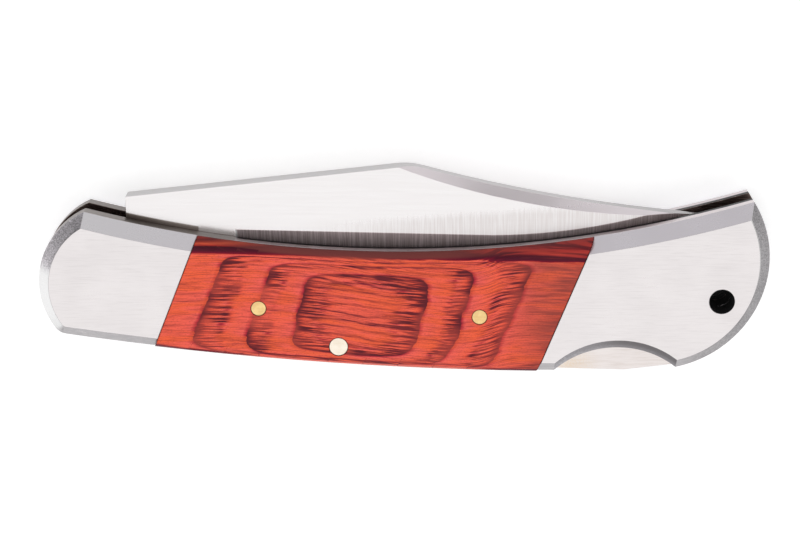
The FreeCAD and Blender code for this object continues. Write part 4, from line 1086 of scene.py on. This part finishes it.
def select_only(piece: bpy.types.Object) -> None:
    """Selects one object and makes it active."""
    bpy.ops.object.select_all(action="DESELECT")
    piece.select_set(True)
    bpy.context.view_layer.objects.active = piece


def apply_modifiers(piece: bpy.types.Object) -> None:
    """Applies a piece's modifiers in order."""
    select_only(piece)
    for modifier in list(piece.modifiers):
        bpy.ops.object.modifier_apply(modifier=modifier.name)


@dataclass(frozen=True)
class BrokenEdges:
    """How a piece's sharp edges are broken, as a maker does with a file and a buff, and the eased ends."""

    width: float = 0.10 * MM
    eased: float = 0.0
    segments: int = 3
    sharp: float = math.radians(22)
    coplanar: float = math.radians(0.4)
    merge: float = 0.5e-6
    level: float = 0.99
    end: float = 40 * MM
    end_turn: float = 0.15
    end_blend: float = 0.3

    def width_at(self, middle: Vector, normals: list[Vector]) -> float:
        """Chooses the break of one sharp edge: the eased width, where there is one, round the handle's ends.

        Args:
            middle: the edge's middle.
            normals: the directions of the two faces that meet there.

        Returns:
            The width of the break.
        """
        if not self.eased:
            return self.width
        flat, other = sorted(normals, key=lambda normal: -abs(normal.z))
        if abs(flat.z) < self.level or abs(middle.x) <= self.end:
            return self.width
        outward = other.x * math.copysign(1.0, middle.x)
        share = min(max((outward - self.end_turn) / self.end_blend, 0.0), 1.0)
        return self.width + share * (self.eased - self.width)

    def weigh(self, piece: bpy.types.Object) -> None:
        """Gives each sharp edge its share of the widest break.

        Args:
            piece: the piece whose edges are weighed.
        """
        mesh = piece.data
        sides: dict[tuple[int, int], list[Vector]] = {}
        for face in mesh.polygons:
            for key in face.edge_keys:
                sides.setdefault(key, []).append(face.normal.copy())
        weights = mesh.attributes.new("bevel_weight_edge", "FLOAT", "EDGE")
        for edge in mesh.edges:
            normals = sides[edge.key]
            if len(normals) == 2 and normals[0].angle(normals[1]) > self.sharp:
                start, end = (mesh.vertices[number].co for number in edge.vertices)
                width = self.width_at((start + end) / 2, normals)
                weights.data[edge.index].value = width / max(self.width, self.eased)

    def copy(self, node: bpy.types.Object, name: str) -> bpy.types.Object:
        """Copies a node's mesh and finishes its edges.

        Args:
            node: the CAD node's object.
            name: the new piece's name.

        Returns:
            The finished piece, at the origin.
        """
        select_only(node)
        bpy.ops.object.duplicate()
        piece = bpy.context.object
        bpy.ops.object.parent_clear(type="CLEAR_KEEP_TRANSFORM")
        piece.name = name
        piece.data.name = name
        for key in [key for key in piece.keys() if key.startswith("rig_")]:
            del piece[key]
        bpy.ops.object.mode_set(mode="EDIT")
        bpy.ops.mesh.select_all(action="SELECT")
        bpy.ops.mesh.remove_doubles(threshold=self.merge)
        bpy.ops.mesh.dissolve_limited(angle_limit=self.coplanar)
        bpy.ops.object.mode_set(mode="OBJECT")
        if self.width > 0:
            self.weigh(piece)
            bevel = piece.modifiers.new("broken_edges", "BEVEL")
            bevel.width = max(self.width, self.eased)
            bevel.segments = self.segments
            bevel.limit_method = "WEIGHT"
            bevel.use_clamp_overlap = True
            bevel.loop_slide = False
            apply_modifiers(piece)
        select_only(piece)
        bpy.ops.object.shade_smooth_by_angle(angle=self.sharp)
        weighting = piece.modifiers.new("flat_normals", "WEIGHTED_NORMAL")
        weighting.mode = "FACE_AREA"
        weighting.weight = 100
        weighting.keep_sharp = True
        apply_modifiers(piece)
        return piece


@dataclass
class Part:
    """What the sub-assemblies share: the frame's nodes, the finishes, and how a piece is handed over."""

    frame: dict
    finishes: Finishes

    def hand_over(self, piece: bpy.types.Object, body: Body, slot: Slot, node: str) -> None:
        """Dresses a piece, lets it ride on its body and takes the place of its CAD node.

        Args:
            piece: the finished piece.
            body: what it moves with.
            slot: where its finish comes from.
            node: the CAD node that it stands for.
        """
        self.finishes.dress(piece, slot)
        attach(piece, body.value)
        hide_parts(node)
        LOG.info("%s: %d faces, on %s", piece.name, len(piece.data.polygons), body.value)

    def refine(self, node: str, body: Body, slot: Slot, edges: BrokenEdges) -> None:
        """Finishes a copy of a node and hands it over."""
        self.hand_over(edges.copy(self.frame["nodes"][node], f"{node}_finished"), body, slot, node)

    def keep(self, node: str, slot: Slot) -> None:
        """Leaves a hidden CAD node in place and dresses it."""
        self.finishes.dress(self.frame["nodes"][node], slot)
        LOG.info("%s: kept", node)


@dataclass
class Blade(Part):
    """The blade with its bevels, swages and nail nick."""

    edges: BrokenEdges = BrokenEdges(width=0.07 * MM, segments=2, sharp=math.radians(9))

    def build(self) -> None:
        """Builds the blade."""
        self.refine("blade", Body.BLADE, Slot.BLADE, self.edges)


@dataclass
class LockBar(Part):
    """The lock bar, whose tail shows in the thumb notch."""

    edges: BrokenEdges = BrokenEdges(width=0.10 * MM)

    def build(self) -> None:
        """Builds the lock bar."""
        self.refine("lock_bar", Body.LOCK_BAR, Slot.LOCK, self.edges)


@dataclass
class Handle(Part):
    """Liners, bolsters, scales, spacer, spring and the hidden pins."""

    thin_edges: BrokenEdges = BrokenEdges(width=0.06 * MM, segments=2)
    bolster_edges: BrokenEdges = BrokenEdges(width=0.13 * MM, eased=0.40 * MM, segments=5)
    scale_edges: BrokenEdges = BrokenEdges(width=0.10 * MM, segments=2)
    spring_edges: BrokenEdges = BrokenEdges(width=0.05 * MM, segments=1, sharp=math.radians(40))
    spring_root: Place = (46.2 * MM, 0.9 * MM, 6 * MM)
    spring_tip: Place = (18.1 * MM, -9.6 * MM, 6 * MM)
    hidden_pins: tuple[str, ...] = ("pivot_pin", "upper_spacer_pin", "lower_spacer_pin")

    def build(self) -> None:
        """Builds the handle."""
        for side in ("near", "far"):
            self.refine(f"liner_{side}", Body.HANDLE, Slot.LINER, self.thin_edges)
            self.refine(f"front_bolster_{side}", Body.HANDLE, Slot.BOLSTER, self.bolster_edges)
            self.refine(f"rear_bolster_{side}", Body.HANDLE, Slot.BOLSTER, self.bolster_edges)
            self.refine(f"scale_{side}", Body.HANDLE, Slot.WOOD, self.scale_edges)
            self.keep(f"front_bolster_rivets_{side}", Slot.HIDDEN_PIN)
        self.refine("rear_spacer", Body.HANDLE, Slot.LOCK, self.thin_edges)
        self.bend_spring()
        for pin in self.hidden_pins:
            self.keep(pin, Slot.HIDDEN_PIN)

    def bend_spring(self) -> None:
        """Builds the back spring, whose root is held in the spacer; it is baked in place and rides on no body,
        so its tip does not follow the lock bar.
        """
        piece = self.spring_edges.copy(self.frame["nodes"]["back_spring"], "back_spring_finished")
        self.finishes.dress(piece, Slot.SPRING)
        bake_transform(piece)
        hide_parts("back_spring")
        LOG.info("%s: bends from %s to %s", piece.name, Body.HANDLE.value, Body.LOCK_BAR.value)


@dataclass(frozen=True)
class PinHead:
    """A through pin, sanded flush: the ends' broken edge and shallow crown."""

    node: str
    slot: Slot
    edge: float = 0.05 * MM
    crown: float = 0.02 * MM
    sides: int = 64
    sharp: float = math.radians(30)


@dataclass
class Pins(Part):
    """The pins whose ends show on the scales."""

    heads: tuple[PinHead, ...] = (
        PinHead("front_handle_pin", Slot.BRASS),
        PinHead("rear_handle_pin", Slot.BRASS),
        PinHead("lock_bar_pin", Slot.PALE_BRASS),
    )

    def build(self) -> None:
        """Builds the pins."""
        for head in self.heads:
            self.hand_over(self.turn_pin(head), Body.HANDLE, head.slot, head.node)

    def turn_pin(self, head: PinHead) -> bpy.types.Object:
        """Turns one pin: a rod with broken edges and shallow crowns on its ends.

        Args:
            head: the pin's node and its sizes.

        Returns:
            The pin, at the origin.
        """
        low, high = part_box(head.node)
        centre = (low + high) / 2
        radius = (high.x - low.x) / 2
        bpy.ops.object.select_all(action="DESELECT")
        depth = high.z - low.z
        bpy.ops.mesh.primitive_cylinder_add(vertices=head.sides, radius=radius, depth=depth, location=centre)
        piece = bpy.context.object
        piece.name = f"{head.node}_finished"
        piece.data.name = piece.name
        bpy.ops.object.transform_apply(location=True, rotation=True, scale=True)
        bpy.ops.object.mode_set(mode="EDIT")
        bpy.ops.mesh.select_all(action="DESELECT")
        bpy.ops.object.mode_set(mode="OBJECT")
        for face in piece.data.polygons:
            face.select = abs(face.normal.z) > 0.9
        bpy.ops.object.mode_set(mode="EDIT")
        bpy.ops.mesh.inset(thickness=head.edge, depth=0.0)
        bpy.ops.mesh.inset(thickness=radius / 3, depth=0.0)
        bpy.ops.mesh.inset(thickness=radius / 3, depth=0.0)
        bpy.ops.object.mode_set(mode="OBJECT")
        for vertex in piece.data.vertices:
            out = math.hypot(vertex.co.x - centre.x, vertex.co.y - centre.y) / radius
            drop = head.edge if out > 0.999 else head.crown * out**2
            vertex.co.z += -drop if vertex.co.z > centre.z else drop
        bpy.ops.object.shade_smooth_by_angle(angle=head.sharp)
        return piece


# ----------------------------------------------------------------------------------------------------------
# Studio


@dataclass
class Studio:
    """A pale floor, a soft overhead light and the photograph's camera."""

    image_width: float = 800.0
    sensor: float = 36.0
    focal_pixels: float = 2083.65
    elevation: float = math.radians(16.926)
    azimuth: float = math.radians(0.076)
    roll: float = math.radians(0.103)
    distance: float = 345.996 * MM
    target: Place = (-0.598 * MM, -0.242 * MM, 6 * MM)
    floor_size: float = 8.0
    floor_colour: Colour = (0.86, 0.86, 0.86)
    floor_glow: float = 0.42
    light_size: float = 1.0
    light_place: Place = (-0.10, -0.24, 0.80)
    light_radiance: float = 0.45
    sky_strength: float = 0.72
    sky: tuple = (
        (-1.0, 0.92), (-0.3, 1.07), (0.06, 1.03), (0.22, 0.20),
        (0.33, 0.18), (0.44, 0.74), (0.80, 0.74), (1.0, 0.70),
    )
    flag: float = 0.08
    flag_place: Place = (-0.82, 0.55, 0.15)

    def build(self) -> None:
        """Builds the floor, the lights and the camera."""
        self.set_camera()
        self.lay_floor()
        self.hang_light()
        self.fill_world()
        bpy.context.scene.view_settings.view_transform = "Standard"

    def set_camera(self) -> None:
        """Places the camera at the photograph's angle."""
        rotation = Euler((0, self.azimuth, 0)).to_matrix() @ Euler((-self.elevation, 0, 0)).to_matrix()
        rotation = rotation @ Euler((0, 0, self.roll)).to_matrix()
        place = Vector(self.target) + self.distance * (rotation @ Vector((0, 0, 1)))
        bpy.ops.object.camera_add(location=place, rotation=rotation.to_euler())
        camera = bpy.context.object
        camera.data.sensor_width = self.sensor
        camera.data.lens = self.focal_pixels / self.image_width * self.sensor
        camera.data.clip_start = 0.01
        bpy.context.scene.camera = camera

    def lay_floor(self) -> None:
        """Lays the floor, which shows white to the camera and keeps the knife's shadow."""
        bpy.ops.mesh.primitive_plane_add(size=self.floor_size, location=(0, 0, 0))
        floor = bpy.context.object
        floor.name = "floor"
        material, s, surface = new_material("pale_floor")
        surface.inputs["Base Color"].default_value = (*self.floor_colour, 1.0)
        surface.inputs["Roughness"].default_value = 0.9
        surface.inputs["Specular IOR Level"].default_value = 0.0
        light_path = s.node("LightPath").outputs
        seen = s.math("MAXIMUM", light_path["Is Camera Ray"], light_path["Is Glossy Ray"])
        seen = s.math("MAXIMUM", seen, light_path["Is Transmission Ray"])
        surface.inputs["Emission Color"].default_value = (1, 1, 1, 1)
        s.put(surface.inputs["Emission Strength"], s.times(seen, self.floor_glow))
        floor.data.materials.append(material)

    def hang_light(self) -> None:
        """Hangs the soft light over the knife, a little towards the handle's back."""
        bpy.ops.object.light_add(type="AREA", location=self.light_place)
        lamp = bpy.context.object
        lamp.data.shape = "SQUARE"
        lamp.data.size = self.light_size
        lamp.data.energy = self.light_radiance * 4 * self.light_size**2
        lamp.visible_glossy = False
        lamp.rotation_euler = Vector(self.light_place).to_track_quat("Z", "Y").to_euler()

    def fill_world(self) -> None:
        """Fills the world with white, which dims towards the horizon where metal reflects it."""
        world = bpy.data.worlds.new("studio")
        world.use_nodes = True
        bpy.context.scene.world = world
        s = Shader(world.node_tree)
        background = world.node_tree.nodes["Background"]
        light_path = s.node("LightPath").outputs
        direction = s.node("TexCoord").outputs["Generated"]
        y = s.parts(direction)[1]
        nearness = s.vectors("DOT_PRODUCT", direction, self.flag_place)
        flag = s.mix(s.fade(nearness, 0.80, 0.91), (1.0, 1.0, 1.0), (self.flag, self.flag, self.flag))
        stops = ((0.5 + 0.5 * place, (level, level, level)) for place, level in self.sky)
        sky = s.ramp(s.math("MULTIPLY_ADD", y, 0.5, 0.5), stops)
        sky = s.mix(1.0, sky, flag, "MULTIPLY")
        plain = (self.sky_strength, self.sky_strength, self.sky_strength)
        dim = s.mix(light_path["Is Glossy Ray"], plain, sky)
        seen = s.mix(light_path["Is Camera Ray"], dim, (1.0, 1.0, 1.0))
        s.put(background.inputs["Color"], seen)


def main() -> None:
    """Loads the frame, builds the knife and the studio, and hands over."""
    logging.basicConfig(level=logging.INFO, format="%(name)s %(message)s")
    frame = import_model()
    Studio().build()
    finishes = Finishes()
    finishes.make()
    for kind in (Blade, LockBar, Handle, Pins):
        kind(frame, finishes).build()


if __name__ == "__main__":
    main()
